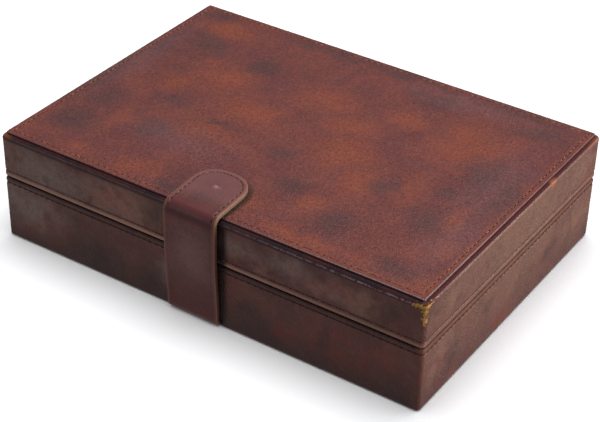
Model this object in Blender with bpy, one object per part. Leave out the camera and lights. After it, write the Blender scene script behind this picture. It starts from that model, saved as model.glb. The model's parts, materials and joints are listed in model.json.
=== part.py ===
"""A leather-covered wooden case for poker chips and cards.

Frame: the origin is the centre of the underside, on the surface the case stands on.
+X runs along the case's length, +Z points up, and the closing strap is on the -Y side.
Lengths are in metres.

The case is built in layers. An "inset" is a distance inwards from the outer face of
the side leather, the same on all four sides.
"""

from math import cos, pi, sin

import bmesh
import bpy

# Overall size
LENGTH = 0.305
DEPTH = 0.218
HEIGHT = 0.077
RIM_GAP_MIDDLE = 0.0446
RIM_GAP = 0.0010
CORNER_RADIUS = 0.0030
LEAST_RADIUS = 0.0004
CORNER_STEPS = 5
ARC_STEPS = 4
FIT_GAP = 0.0003

# Layers of the walls
LEATHER = 0.0012
BOARD_INSET = LEATHER + FIT_GAP
BASE_BOARD = 0.0050
LID_BOARD = 0.0040
LINING_BOARD = 0.0018
FELT = 0.0006
BASE_LINING_INSET = BOARD_INSET + BASE_BOARD + FIT_GAP
LID_LINING_INSET = BOARD_INSET + LID_BOARD + FIT_GAP
WELL_INSET = BASE_LINING_INSET + LINING_BOARD

# Heights in the base
BASE_TOP = RIM_GAP_MIDDLE - RIM_GAP / 2
COVER_TOP = 0.0014
COVER_INSET = 0.0044
LEATHER_FOOT = 0.0002
FOOT_RADIUS = 0.0022
FOOT_FLANGE = 0.0040
FLOOR_BOTTOM = COVER_TOP + FIT_GAP
FLOOR_TOP = 0.0053
WALL_BOTTOM = FLOOR_TOP + FIT_GAP
BASE_WALL_TOP = BASE_TOP - LEATHER - FIT_GAP
FLOOR_FELT_TOP = WALL_BOTTOM + 0.0008
FURNITURE_BOTTOM = FLOOR_FELT_TOP + FIT_GAP
COLLAR_HEIGHT = 0.0050
COLLAR_TOP = BASE_TOP + COLLAR_HEIGHT

# Heights in the lid
LID_BOTTOM = RIM_GAP_MIDDLE + RIM_GAP / 2
LID_WALL_BOTTOM = LID_BOTTOM + LEATHER + FIT_GAP
SHOULDER_RADIUS = 0.0030
PANEL_INSET = 0.0024
PANEL_BOTTOM = HEIGHT - LEATHER
SHOULDER_TOP = PANEL_BOTTOM - FIT_GAP
SHOULDER_CENTRE = SHOULDER_TOP - SHOULDER_RADIUS
SHOULDER_FLANGE = 0.0120
LID_BOARD_TOP = SHOULDER_TOP - LEATHER - FIT_GAP
LID_BOARD_BOTTOM = LID_BOARD_TOP - 0.0040
LID_WALL_TOP = LID_BOARD_BOTTOM - FIT_GAP
CEILING_PAD = 0.0033

# Turned leather at the two rims
RIM_RADIUS = 0.0014
SEAM_FROM_RIM = 0.0044
SEAM_DEPTH = 0.0003
SEAM_HALF_WIDTH = 0.0005

# Strap, in the plane of its thickness: offsets are from its middle, outwards positive
STRAP_X = -0.0035
STRAP_WIDTH = 0.0370
STRAP_HALF_THICKNESS = 0.00135
LAYER_GAP = 0.00015
STRAP_Y = -DEPTH / 2 - FIT_GAP - STRAP_HALF_THICKNESS
STRAP_BULGE = 0.0022
BULGE_TOP = 0.0500
FOLD_Z = 0.0070
FOLD_ROOM = STRAP_HALF_THICKNESS + FIT_GAP
TOP_BEND_RADIUS = 0.0055
TOP_BEND_STEPS = 8
TIP_Z = HEIGHT + FIT_GAP + STRAP_HALF_THICKNESS
TIP_FOLD_Y = -0.1045
TIP_END_Y = -0.0672
TIP_ROUND_LENGTH = 0.0180
TIP_ROUND_POWER = 2.3
TIP_STEPS = 20
TAIL_BEND_RADIUS = 0.00385
TAIL_END_Y = -0.0832
TAIL_ROOM = 0.0006
RECESS_TOP = 0.0033
MAGNET_FROM_END = 0.0175
MAGNET_RADIUS = 0.0060
KEEPER_RADIUS = 0.0080
RIVET_SPACING = 0.0200
RIVET_Y = -0.0900

# Hinges
HINGE_X = 0.0950
HINGE_WIDTH = 0.0260
LEAF = 0.0010
LEAF_HEIGHT = 0.0150
LEAF_INNER_Y = DEPTH / 2 + FIT_GAP
BARREL_RADIUS = 0.0021
BARREL_BORE = 0.0012
PIN_RADIUS = 0.0009
BARREL_Y = LEAF_INNER_Y + BARREL_RADIUS
KNUCKLE = 0.0088
KNUCKLE_GAP = 0.0004
LEAF_CLEARANCE = BARREL_RADIUS + 0.0004
SCREW_X = 0.0080
SCREW_Z = 0.0110
SCREW_SHANK = 0.0010
SCREW_HOLE = 0.0013
SCREW_HEAD = 0.0023
SCREW_END_Y = 0.1044
ROUND_SIDES = 24
SCREW_SIDES = 12

# Chip racks and card wells
RACK_INNER_X = 0.0490
RACK_TOP = 0.0290
CHANNEL_RADIUS = 0.0205
CHANNEL_SPACING = 0.0450
CHANNEL_STEPS = 16
DIVIDER_THICKNESS = 0.0030
DIVIDER_TOP = 0.0270
CARD_WELL = 0.0660

# Finish of each material: colour, roughness, metallic
FINISHES = {
    "top_leather": ((0.200, 0.062, 0.040), 0.42, 0.0),
    "side_leather": ((0.080, 0.034, 0.028), 0.45, 0.0),
    "strap_leather": ((0.095, 0.032, 0.030), 0.40, 0.0),
    "strap_backing": ((0.240, 0.120, 0.060), 0.70, 0.0),
    "bottom_leather": ((0.060, 0.028, 0.022), 0.60, 0.0),
    "plywood": ((0.560, 0.400, 0.240), 0.75, 0.0),
    "card": ((0.480, 0.430, 0.350), 0.85, 0.0),
    "green_felt": ((0.020, 0.090, 0.050), 0.95, 0.0),
    "lid_satin": ((0.028, 0.110, 0.062), 0.55, 0.0),
    "brass": ((0.720, 0.530, 0.250), 0.30, 1.0),
    "steel": ((0.560, 0.570, 0.580), 0.35, 1.0),
}


def clear_scene():
    for existing in list(bpy.data.objects):
        bpy.data.objects.remove(existing, do_unlink=True)


def finish(name):
    """The material of this name, made the first time it is asked for."""
    found = bpy.data.materials.get(name)
    if found:
        return found
    colour, roughness, metallic = FINISHES[name]
    made = bpy.data.materials.new(name)
    made.use_nodes = True
    shader = made.node_tree.nodes["Principled BSDF"]
    shader.inputs["Base Color"].default_value = (*colour, 1.0)
    shader.inputs["Roughness"].default_value = roughness
    shader.inputs["Metallic"].default_value = metallic
    return made


def keep(name, bm, finish_name, pivot=None):
    """Turns a bmesh in world coordinates into a named object, with its origin on the pivot."""
    bmesh.ops.recalc_face_normals(bm, faces=bm.faces[:])
    mesh = bpy.data.meshes.new(name)
    bm.to_mesh(mesh)
    bm.free()
    mesh.shade_smooth()
    mesh.set_sharp_from_angle(angle=pi / 6)
    made = bpy.data.objects.new(name, mesh)
    bpy.context.scene.collection.objects.link(made)
    if finish_name:
        mesh.materials.append(finish(finish_name))
    if pivot:
        pivot_point = bpy.data.objects[pivot]
        made.parent = pivot_point
        made.location = -pivot_point.location
    return made


def joint_empty(name, location):
    """An empty on a joint's axis: the pieces that turn on that joint are its children."""
    empty = bpy.data.objects.new(name, None)
    empty.location = location
    empty.empty_display_size = 0.01
    bpy.context.scene.collection.objects.link(empty)


def rounded_rectangle(inset, z):
    """A ring of points round the case at this inset and height, counter-clockwise from above."""
    radius = max(CORNER_RADIUS - inset, LEAST_RADIUS)
    reach_x = LENGTH / 2 - inset - radius
    reach_y = DEPTH / 2 - inset - radius
    points = []
    for corner, (side_x, side_y) in enumerate(((1, 1), (-1, 1), (-1, -1), (1, -1))):
        for step in range(CORNER_STEPS + 1):
            angle = (corner + step / CORNER_STEPS) * pi / 2
            x = side_x * reach_x + radius * cos(angle)
            y = side_y * reach_y + radius * sin(angle)
            points.append((x, y, z))
    return points


def loft(bm, rings, closed):
    """Joins rings of equally many points. A closed loft joins the last to the first; an open one is capped."""
    loops = [[bm.verts.new(point) for point in ring] for ring in rings]
    count = len(loops[0])
    pairs = list(zip(loops, loops[1:]))
    if closed:
        pairs.append((loops[-1], loops[0]))
    else:
        bm.faces.new(reversed(loops[0]))
        bm.faces.new(loops[-1])
    for lower, upper in pairs:
        for index in range(count):
            after = (index + 1) % count
            bm.faces.new((lower[index], lower[after], upper[after], upper[index]))


def band(name, profile, finish_name, pivot=None):
    """A closed (inset, z) profile carried round the case: a skin with no end."""
    bm = bmesh.new()
    loft(bm, [rounded_rectangle(inset, z) for inset, z in profile], closed=True)
    return keep(name, bm, finish_name, pivot)


def sheet(name, profile, finish_name, pivot=None):
    """An (inset, z) profile, bottom to top, capped at both ends: a board or a flat sheet."""
    bm = bmesh.new()
    loft(bm, [rounded_rectangle(inset, z) for inset, z in profile], closed=False)
    return keep(name, bm, finish_name, pivot)


def box_points(low, high):
    (x0, y0, z0), (x1, y1, z1) = low, high
    corners = ((x0, y0), (x1, y0), (x1, y1), (x0, y1))
    return [[(x, y, z) for x, y in corners] for z in (z0, z1)]


def box(name, low, high, finish_name, pivot=None, bevel=0.0003):
    """A board between two corners, with its edges broken."""
    bm = bmesh.new()
    loft(bm, box_points(low, high), closed=False)
    made = keep(name, bm, finish_name, pivot)
    if bevel:
        edges = made.modifiers.new("broken_edges", "BEVEL")
        edges.width = bevel
        edges.segments = 1
        edges.limit_method = "ANGLE"
    return made


def turned(name, profile, centre, along, finish_name, sides=ROUND_SIDES, pivot=None):
    """A (radius, distance) profile turned about an axis through a centre: along X, Y or Z."""
    bm = bmesh.new()
    add_turned(bm, profile, centre, along, sides)
    return keep(name, bm, finish_name, pivot)


def add_turned(bm, profile, centre, along, sides):
    """Adds the turned body to a bmesh, which may hold several."""
    cx, cy, cz = centre
    rings = []
    for radius, distance in profile:
        ring = []
        for side in range(sides):
            angle = 2 * pi * side / sides
            u, v = radius * cos(angle), radius * sin(angle)
            if along == "X":
                ring.append((cx + distance, cy + u, cz + v))
            elif along == "Y":
                ring.append((cx + u, cy + distance, cz + v))
            else:
                ring.append((cx + u, cy + v, cz + distance))
        rings.append(ring)
    loft(bm, rings, closed=False)


def cutter(name, bm):
    """Turns a bmesh into a hidden guide that only cuts other pieces."""
    made = keep(name, bm, None)
    made.hide_render = True
    made.display_type = "WIRE"
    return made


def cut(piece, guide, operation="DIFFERENCE"):
    boolean = piece.modifiers.new(guide.name, "BOOLEAN")
    boolean.operation = operation
    boolean.solver = "EXACT"
    boolean.object = guide


def arc(centre, radius, start, end, steps=ARC_STEPS):
    """Points on a round stretch of a profile, with angles in quarter turns."""
    points = []
    for step in range(steps + 1):
        angle = (start + (end - start) * step / steps) * pi / 2
        points.append((centre[0] + radius * cos(angle), centre[1] + radius * sin(angle)))
    return points


# Base


def base_side_leather():
    """Leather round the base: turned in over the rim and under the bottom edge."""
    foot_centre = (FOOT_RADIUS, LEATHER_FOOT + FOOT_RADIUS)
    rim_centre = (RIM_RADIUS, BASE_TOP - RIM_RADIUS)
    seam = BASE_TOP - SEAM_FROM_RIM
    board_edge = BOARD_INSET + BASE_BOARD
    profile = [(FOOT_FLANGE, LEATHER_FOOT)]
    profile += arc(foot_centre, FOOT_RADIUS, 3, 2)
    profile += [(0, seam - SEAM_HALF_WIDTH), (SEAM_DEPTH, seam), (0, seam + SEAM_HALF_WIDTH)]
    profile += arc(rim_centre, RIM_RADIUS, 2, 1)
    profile += [(board_edge, BASE_TOP), (board_edge, BASE_TOP - LEATHER)]
    profile += [(LEATHER, BASE_TOP - LEATHER)]
    profile += arc(foot_centre, FOOT_RADIUS - LEATHER, 2, 3)
    profile += [(FOOT_FLANGE, LEATHER_FOOT + LEATHER)]
    return band("base_side_leather", profile, "side_leather")


def base_bottom_cover():
    edge = 0.0004
    profile = [(COVER_INSET + edge, 0), (COVER_INSET, edge), (COVER_INSET, COVER_TOP)]
    return sheet("base_bottom_cover", profile, "bottom_leather")


def base_bottom_board():
    """The floor, with its lower edge rounded to lie inside the turned leather."""
    radius = FOOT_RADIUS - BOARD_INSET
    centre = (FOOT_RADIUS, FLOOR_BOTTOM + radius)
    profile = arc(centre, radius, 3, 2, steps=2) + [(BOARD_INSET, FLOOR_TOP)]
    return sheet("base_bottom_board", profile, "plywood")


def wall_boards(prefix, inset, thickness, bottom, top, finish_name, pivot=None):
    """Four wall boards. The front and back run the full length, with the sides between them."""
    x1 = LENGTH / 2 - inset
    y1 = DEPTH / 2 - inset
    x0 = x1 - thickness
    y0 = y1 - thickness
    side_y = y0 - FIT_GAP
    ends = {
        "front": ((-x1, -y1), (x1, -y0)),
        "back": ((-x1, y0), (x1, y1)),
        "left": ((-x1, -side_y), (-x0, side_y)),
        "right": ((x0, -side_y), (x1, side_y)),
    }
    made = {}
    for side, (low, high) in ends.items():
        name = prefix.format(side)
        made[side] = box(name, (*low, bottom), (*high, top), finish_name, pivot)
    return made


def round_outer_corners(boards, radius):
    """Widens the broken edges of the front and back boards to suit the leather's corners."""
    for side in ("front", "back"):
        boards[side].modifiers["broken_edges"].width = radius
        boards[side].modifiers["broken_edges"].segments = 2


def chip_rack(name, side):
    """A block with two half-round channels, in which chips stand on edge."""
    outer = LENGTH / 2 - WELL_INSET - FIT_GAP
    middle = (RACK_INNER_X + outer) / 2
    outline = [(RACK_INNER_X, FURNITURE_BOTTOM), (RACK_INNER_X, RACK_TOP)]
    for offset in (-CHANNEL_SPACING / 2, CHANNEL_SPACING / 2):
        outline += arc((middle + offset, RACK_TOP), CHANNEL_RADIUS, -2, 0, CHANNEL_STEPS)
    outline += [(outer, RACK_TOP), (outer, FURNITURE_BOTTOM)]
    end = DEPTH / 2 - WELL_INSET - FIT_GAP
    bm = bmesh.new()
    loft(bm, [[(side * x, y, z) for x, z in outline] for y in (-end, end)], closed=False)
    return keep(name, bm, "green_felt")


def well_divider(name, side):
    """A cross wall between a card well and the middle well."""
    end = DEPTH / 2 - WELL_INSET
    outer = end - CARD_WELL
    y0, y1 = sorted((side * outer, side * (outer - DIVIDER_THICKNESS)))
    reach = RACK_INNER_X - FIT_GAP
    low = (-reach, y0, FURNITURE_BOTTOM)
    return box(name, low, (reach, y1, DIVIDER_TOP), "green_felt", bevel=0.0008)


def build_base():
    """The base, without its strap and hinges. Gives back the pieces that others cut into."""
    leather = base_side_leather()
    cover = base_bottom_cover()
    floor = base_bottom_board()
    walls = wall_boards(
        "base_{}_board", BOARD_INSET, BASE_BOARD, WALL_BOTTOM, BASE_WALL_TOP, "plywood"
    )
    round_outer_corners(walls, CORNER_RADIUS - BOARD_INSET)
    felt_inset = BASE_LINING_INSET
    felt = [(felt_inset, WALL_BOTTOM), (felt_inset, FLOOR_FELT_TOP)]
    sheet("base_floor_lining", felt, "green_felt")
    wall_boards(
        "base_{}_lining", BASE_LINING_INSET, LINING_BOARD, FURNITURE_BOTTOM, COLLAR_TOP, "green_felt"
    )
    chip_rack("chip_rack_left", -1)
    chip_rack("chip_rack_right", 1)
    well_divider("well_divider_front", -1)
    well_divider("well_divider_back", 1)
    return leather, cover, floor, walls["back"]


# Lid


def lid_side_leather():
    """Leather round the lid: turned in at the rim, and over the shoulder on to the top board."""
    rim_centre = (RIM_RADIUS, LID_BOTTOM + RIM_RADIUS)
    shoulder_centre = (SHOULDER_RADIUS, SHOULDER_CENTRE)
    seam = LID_BOTTOM + SEAM_FROM_RIM
    board_edge = BOARD_INSET + LID_BOARD
    profile = [(board_edge, LID_BOTTOM)]
    profile += arc(rim_centre, RIM_RADIUS, 3, 2)
    profile += [(0, seam - SEAM_HALF_WIDTH), (SEAM_DEPTH, seam), (0, seam + SEAM_HALF_WIDTH)]
    profile += arc(shoulder_centre, SHOULDER_RADIUS, 2, 1)
    profile += [(SHOULDER_FLANGE, SHOULDER_TOP), (SHOULDER_FLANGE, SHOULDER_TOP - LEATHER)]
    profile += arc(shoulder_centre, SHOULDER_RADIUS - LEATHER, 1, 2)
    profile += [(LEATHER, LID_BOTTOM + LEATHER), (board_edge, LID_BOTTOM + LEATHER)]
    return band("lid_side_leather", profile, "side_leather", "lid_hinge_axis")


def lid_top_board():
    centre = (SHOULDER_RADIUS, SHOULDER_CENTRE)
    radius = SHOULDER_RADIUS - BOARD_INSET
    profile = [(BOARD_INSET, LID_BOARD_BOTTOM)] + arc(centre, radius, 2, 1, steps=2)
    return sheet("lid_top_board", profile, "plywood", "lid_hinge_axis")


def lid_top_panel():
    edge = 0.0004
    centre = (PANEL_INSET + edge, HEIGHT - edge)
    profile = [(PANEL_INSET, PANEL_BOTTOM)] + arc(centre, edge, 2, 1, steps=2)
    return sheet("lid_top_panel", profile, "top_leather", "lid_hinge_axis")


def lid_ceiling_pad():
    """The padded lining of the lid, with soft edges."""
    inset = LID_LINING_INSET + FELT + FIT_GAP
    edge = 0.0015
    bottom = LID_WALL_TOP - CEILING_PAD
    profile = [(inset + edge, bottom), (inset, bottom + edge), (inset, LID_WALL_TOP)]
    return sheet("lid_ceiling_pad", profile, "lid_satin", "lid_hinge_axis")


def lid_filler_and_keeper():
    """The card that levels the top, and the steel plate let into it for the strap's magnet."""
    bottom = LID_BOARD_TOP + FIT_GAP
    top = PANEL_BOTTOM - FIT_GAP
    inset = SHOULDER_FLANGE + FIT_GAP
    filler = sheet("lid_top_filler", [(inset, bottom), (inset, top)], "card", "lid_hinge_axis")
    centre = (STRAP_X, TIP_END_Y - MAGNET_FROM_END, 0)
    thickness = [(KEEPER_RADIUS, bottom), (KEEPER_RADIUS, top)]
    turned("lid_keeper_plate", thickness, centre, "Z", "steel", pivot="lid_hinge_axis")
    hole = bmesh.new()
    hole_radius = KEEPER_RADIUS + FIT_GAP
    ends = [(hole_radius, bottom - FIT_GAP / 2), (hole_radius, top + FIT_GAP / 2)]
    add_turned(hole, ends, centre, "Z", ROUND_SIDES)
    cut(filler, cutter("keeper_hole", hole))


def build_lid():
    """The lid, without its hinges. Gives back the pieces that the hinges' screws go into."""
    leather = lid_side_leather()
    lid_top_board()
    lid_top_panel()
    lid_filler_and_keeper()
    walls = wall_boards(
        "lid_{}_board",
        BOARD_INSET,
        LID_BOARD,
        LID_WALL_BOTTOM,
        LID_WALL_TOP,
        "plywood",
        "lid_hinge_axis",
    )
    round_outer_corners(walls, CORNER_RADIUS - BOARD_INSET)
    outer = LID_LINING_INSET
    inner = outer + FELT
    low = LID_BOTTOM + FIT_GAP
    high = LID_WALL_TOP - FIT_GAP
    lining = [(outer, low), (outer, high), (inner, high), (inner, low)]
    band("lid_wall_lining", lining, "lid_satin", "lid_hinge_axis")
    lid_ceiling_pad()
    return leather, walls["back"]


# Strap


def riser_middle():
    """The strap's middle line, as (y, z, outward y, outward z), from the lower fold to the tip's fold."""
    points = []
    rise_steps = 8
    for step in range(rise_steps + 1):
        share = step / rise_steps
        y = STRAP_Y - STRAP_BULGE * share * share * (3 - 2 * share)
        points.append((y, FOLD_Z + (BULGE_TOP - FOLD_Z) * share, -1.0, 0.0))
    centre_y = STRAP_Y - STRAP_BULGE + TOP_BEND_RADIUS
    centre_z = TIP_Z - TOP_BEND_RADIUS
    for step in range(TOP_BEND_STEPS + 1):
        angle = pi - pi / 2 * step / TOP_BEND_STEPS
        out_y, out_z = cos(angle), sin(angle)
        y = centre_y + TOP_BEND_RADIUS * out_y
        points.append((y, centre_z + TOP_BEND_RADIUS * out_z, out_y, out_z))
    points.append((TIP_FOLD_Y - FOLD_ROOM, TIP_Z, 0.0, 1.0))
    return points


def layer_outline(middle, inner, outer):
    """Both faces of a layer that lies between two offsets from a middle line."""
    outside = [(y + out_y * outer, z + out_z * outer) for y, z, out_y, out_z in middle]
    inside = [(y + out_y * inner, z + out_z * inner) for y, z, out_y, out_z in middle]
    return outside + inside[::-1]


def strap_strip(name, outline, finish_name, pivot=None):
    """A (y, z) outline as wide as the strap."""
    bm = bmesh.new()
    left = STRAP_X - STRAP_WIDTH / 2
    right = STRAP_X + STRAP_WIDTH / 2
    loft(bm, [[(x, y, z) for y, z in outline] for x in (left, right)], closed=False)
    return keep(name, bm, finish_name, pivot)


def riser_layer(name, inner, outer, finish_name):
    """One layer of the upright strap. Its lower end is rounded about the fold it swings on."""
    outline = layer_outline(riser_middle(), inner, outer)
    near = min(abs(inner), abs(outer))
    radius = STRAP_HALF_THICKNESS - near
    sign = 1 if outer > 0 else -1
    start = STRAP_Y - sign * near
    round_end = [
        (start - sign * radius * cos(step * pi / 8), FOLD_Z - radius * sin(step * pi / 8))
        for step in range(1, 5)
    ]
    if outer > 0:
        round_end.reverse()
    return strap_strip(name, outline + round_end, finish_name, "strap_fold_axis")


def tip_outline():
    """The tip seen from above: straight sides and a blunt round end."""
    half = STRAP_WIDTH / 2
    straight_end = TIP_END_Y - TIP_ROUND_LENGTH
    near = TIP_FOLD_Y - STRAP_HALF_THICKNESS + LAYER_GAP
    points = [(STRAP_X - half, near), (STRAP_X + half, near)]
    for step in range(TIP_STEPS + 1):
        angle = pi * step / TIP_STEPS
        power = 2 / TIP_ROUND_POWER
        side = 1 if cos(angle) >= 0 else -1
        x = STRAP_X + half * side * abs(cos(angle)) ** power
        points.append((x, straight_end + TIP_ROUND_LENGTH * abs(sin(angle)) ** power))
    return points


def tip_layer(name, inner, outer, finish_name):
    """One layer of the tip. Its near edge is rounded about the fold that it lifts on."""
    low, high = sorted((TIP_Z + inner, TIP_Z + outer))
    outline = tip_outline()
    bm = bmesh.new()
    loft(bm, [[(x, y, z) for x, y in outline] for z in (low, high)], closed=False)
    far_z = TIP_Z + (outer if outer > 0 else inner)
    near_y = outline[0][1]
    tolerance = 1e-6
    edges = [
        edge
        for edge in bm.edges
        if all(abs(v.co.z - far_z) < tolerance and abs(v.co.y - near_y) < tolerance for v in edge.verts)
    ]
    bmesh.ops.bevel(bm, geom=edges, offset=high - low - 1e-5, segments=4, profile=0.5, affect="EDGES")
    return keep(name, bm, finish_name, "strap_tip_axis")


def strap_tail():
    """The fixed end of the strap: round the base's lower edge and back under it."""
    centre_y = STRAP_Y + TAIL_BEND_RADIUS
    centre_z = FOLD_Z - FOLD_ROOM
    middle = []
    for step in range(TOP_BEND_STEPS + 1):
        angle = pi + pi / 2 * step / TOP_BEND_STEPS
        out_y, out_z = cos(angle), sin(angle)
        y = centre_y + TAIL_BEND_RADIUS * out_y
        middle.append((y, centre_z + TAIL_BEND_RADIUS * out_z, out_y, out_z))
    middle.append((TAIL_END_Y, centre_z - TAIL_BEND_RADIUS, 0.0, -1.0))
    outline = layer_outline(middle, -STRAP_HALF_THICKNESS, STRAP_HALF_THICKNESS)
    return strap_strip("strap_tail", outline, "strap_leather")


def strap_rivets(tail, floor):
    """Two tubular rivets through the tail and the floor, in counterbored holes."""
    shank, head, clench = 0.0012, 0.0035, 0.0025
    head_low, head_high = 0.0004, 0.0010
    clench_low, clench_high = 0.0046, 0.0051
    profile = [(head, head_low), (head, head_high), (shank, head_high)]
    profile += [(shank, clench_low), (clench, clench_low), (clench, clench_high)]
    room = FIT_GAP
    hole_profile = [(head + room, -0.001), (head + room, head_high + room)]
    hole_profile += [(shank + room, head_high + room), (shank + room, clench_low - room)]
    hole_profile += [(clench + room, clench_low - room), (clench + room, 0.008)]
    holes = bmesh.new()
    for name, side in (("strap_rivet_left", -1), ("strap_rivet_right", 1)):
        centre = (STRAP_X + side * RIVET_SPACING / 2, RIVET_Y, 0)
        turned(name, profile, centre, "Z", "brass", SCREW_SIDES)
        add_turned(holes, hole_profile, centre, "Z", SCREW_SIDES)
    guide = cutter("rivet_holes", holes)
    cut(tail, guide)
    cut(floor, guide)


def make_room_for_tail(leather, cover, floor):
    """Lets the tail into the underside, so that the case stands flat."""
    half = STRAP_WIDTH / 2 + TAIL_ROOM
    back = TAIL_END_Y + FIT_GAP
    front = -DEPTH / 2 - 0.002
    below = -0.002
    leather_edge = FOLD_Z - FOLD_ROOM + FIT_GAP
    # How far in and how high each slot goes
    slots = {
        "leather_slot": (leather, -DEPTH / 2 + 0.006, leather_edge),
        "cover_slot": (cover, back, COVER_TOP + 0.001),
        "floor_slot": (floor, back, RECESS_TOP),
    }
    for name, (piece, far, top) in slots.items():
        slot = bmesh.new()
        low = (STRAP_X - half, front, below)
        loft(slot, box_points(low, (STRAP_X + half, far, top)), closed=False)
        cut(piece, cutter(name, slot))


def build_strap(leather, cover, floor):
    tail = strap_tail()
    make_room_for_tail(leather, cover, floor)
    strap_rivets(tail, floor)
    thick, gap = STRAP_HALF_THICKNESS, LAYER_GAP
    riser_layer("strap_riser_outer", gap, thick, "strap_leather")
    riser_layer("strap_riser_lining", -thick, -gap, "strap_backing")
    tip_layer("strap_tip_outer", gap, thick, "strap_leather")
    lining = tip_layer("strap_tip_lining", -thick, -gap, "strap_backing")
    centre = (STRAP_X, TIP_END_Y - MAGNET_FROM_END, TIP_Z)
    magnet = [(MAGNET_RADIUS, -thick + 0.0001), (MAGNET_RADIUS, -gap)]
    turned("strap_magnet", magnet, centre, "Z", "steel", pivot="strap_tip_axis")
    hole = bmesh.new()
    hole_radius = MAGNET_RADIUS + FIT_GAP
    add_turned(hole, [(hole_radius, -0.003), (hole_radius, 0.001)], centre, "Z", ROUND_SIDES)
    cut(lining, cutter("magnet_hole", hole))


# Hinges


def hinge_leaf(name, hinge_x, side, spans, holes, pivot=None):
    """A leaf on the case's back, up (side 1) or down (-1), with its knuckles along the given spans."""
    centre = (hinge_x, BARREL_Y, RIM_GAP_MIDDLE)
    near = RIM_GAP_MIDDLE + side * LEAF_CLEARANCE
    far = RIM_GAP_MIDDLE + side * (LEAF_CLEARANCE + LEAF_HEIGHT)
    z0, z1 = sorted((near, far))
    x0, x1 = hinge_x - HINGE_WIDTH / 2, hinge_x + HINGE_WIDTH / 2
    low, high = (x0, LEAF_INNER_Y, z0), (x1, LEAF_INNER_Y + LEAF, z1)
    leaf = box(name, low, high, "brass", pivot, bevel=0)
    neck = RIM_GAP_MIDDLE + side * BARREL_RADIUS * 0.4
    overlap = RIM_GAP_MIDDLE + side * (LEAF_CLEARANCE + 0.001)
    knuckles, bores = bmesh.new(), bmesh.new()
    necks = bmesh.new()
    for start, end in spans:
        ends = [(BARREL_RADIUS, start), (BARREL_RADIUS, end)]
        add_turned(knuckles, ends, centre, "X", ROUND_SIDES)
        low_z, high_z = sorted((neck, overlap))
        neck_low = (hinge_x + start, LEAF_INNER_Y, low_z)
        neck_high = (hinge_x + end, LEAF_INNER_Y + LEAF, high_z)
        loft(necks, box_points(neck_low, neck_high), closed=False)
        bore = [(BARREL_BORE, start - 0.001), (BARREL_BORE, end + 0.001)]
        add_turned(bores, bore, centre, "X", ROUND_SIDES)
    cut(leaf, cutter(f"{name}_necks", necks), "UNION")
    cut(leaf, cutter(f"{name}_knuckles", knuckles), "UNION")
    cut(leaf, cutter(f"{name}_bores", bores))
    cut(leaf, holes)
    return leaf


def hinge_screw(name, x, z, pivot=None):
    """A round-headed screw through a leaf and the leather into the back board."""
    under_head = LEAF_INNER_Y + LEAF + 0.0002
    profile = [(SCREW_SHANK * 0.3, SCREW_END_Y), (SCREW_SHANK, SCREW_END_Y + 0.0012)]
    profile += [(SCREW_SHANK, under_head), (SCREW_HEAD, under_head)]
    profile += [(SCREW_HEAD * 0.85, under_head + 0.0003), (SCREW_HEAD * 0.5, under_head + 0.0005)]
    return turned(name, profile, (x, 0, z), "Y", "brass", SCREW_SIDES, pivot)


def build_hinges(base_pieces, lid_pieces):
    """Two butt hinges. The base's leaves have the outer knuckles, the lid's the middle one."""
    half = HINGE_WIDTH / 2
    middle = KNUCKLE / 2
    outer_spans = [(-half, -middle - KNUCKLE_GAP), (middle + KNUCKLE_GAP, half)]
    middle_span = [(-middle, middle)]
    levels = (
        ("base", -1, outer_spans, base_pieces, None),
        ("lid", 1, middle_span, lid_pieces, "lid_hinge_axis"),
    )
    for level, side, spans, pieces, pivot in levels:
        z = RIM_GAP_MIDDLE + side * SCREW_Z
        bm = bmesh.new()
        for hinge_x in (-HINGE_X, HINGE_X):
            for x in (hinge_x - SCREW_X, hinge_x + SCREW_X):
                hole = [(SCREW_HOLE, SCREW_END_Y - FIT_GAP), (SCREW_HOLE, BARREL_Y + 0.002)]
                add_turned(bm, hole, (x, 0, z), "Y", SCREW_SIDES)
        holes = cutter(f"{level}_screw_holes", bm)
        for piece in pieces:
            cut(piece, holes)
        for hinge, hinge_x in (("left", -HINGE_X), ("right", HINGE_X)):
            hinge_leaf(f"hinge_{hinge}_{level}_leaf", hinge_x, side, spans, holes, pivot)
            for number, x in enumerate((hinge_x - SCREW_X, hinge_x + SCREW_X), start=1):
                hinge_screw(f"hinge_{hinge}_{level}_screw_{number}", x, z, pivot)
    for hinge, hinge_x in (("left", -HINGE_X), ("right", HINGE_X)):
        reach = half + 0.0004
        pin = [(PIN_RADIUS * 0.6, -reach), (PIN_RADIUS, -reach + 0.0004)]
        pin += [(PIN_RADIUS, reach - 0.0004), (PIN_RADIUS * 0.6, reach)]
        centre = (hinge_x, BARREL_Y, RIM_GAP_MIDDLE)
        turned(f"hinge_{hinge}_pin", pin, centre, "X", "steel", SCREW_SIDES)


def main():
    clear_scene()
    joint_empty("lid_hinge_axis", (0, BARREL_Y, RIM_GAP_MIDDLE))
    joint_empty("strap_fold_axis", (STRAP_X, STRAP_Y, FOLD_Z))
    joint_empty("strap_tip_axis", (STRAP_X, TIP_FOLD_Y, TIP_Z))
    base_leather, cover, floor, base_back = build_base()
    lid_leather, lid_back = build_lid()
    build_strap(base_leather, cover, floor)
    build_hinges([base_leather, base_back], [lid_leather, lid_back])


main()
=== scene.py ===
"""The looks of a leather-covered poker chip case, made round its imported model.

Lengths are in metres. An "inset" is a distance inwards from the outer face of the side
leather. Materials work in millimetres, which makes the sizes of their grain easy to read.
"""
import bisect
import json
import math

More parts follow.
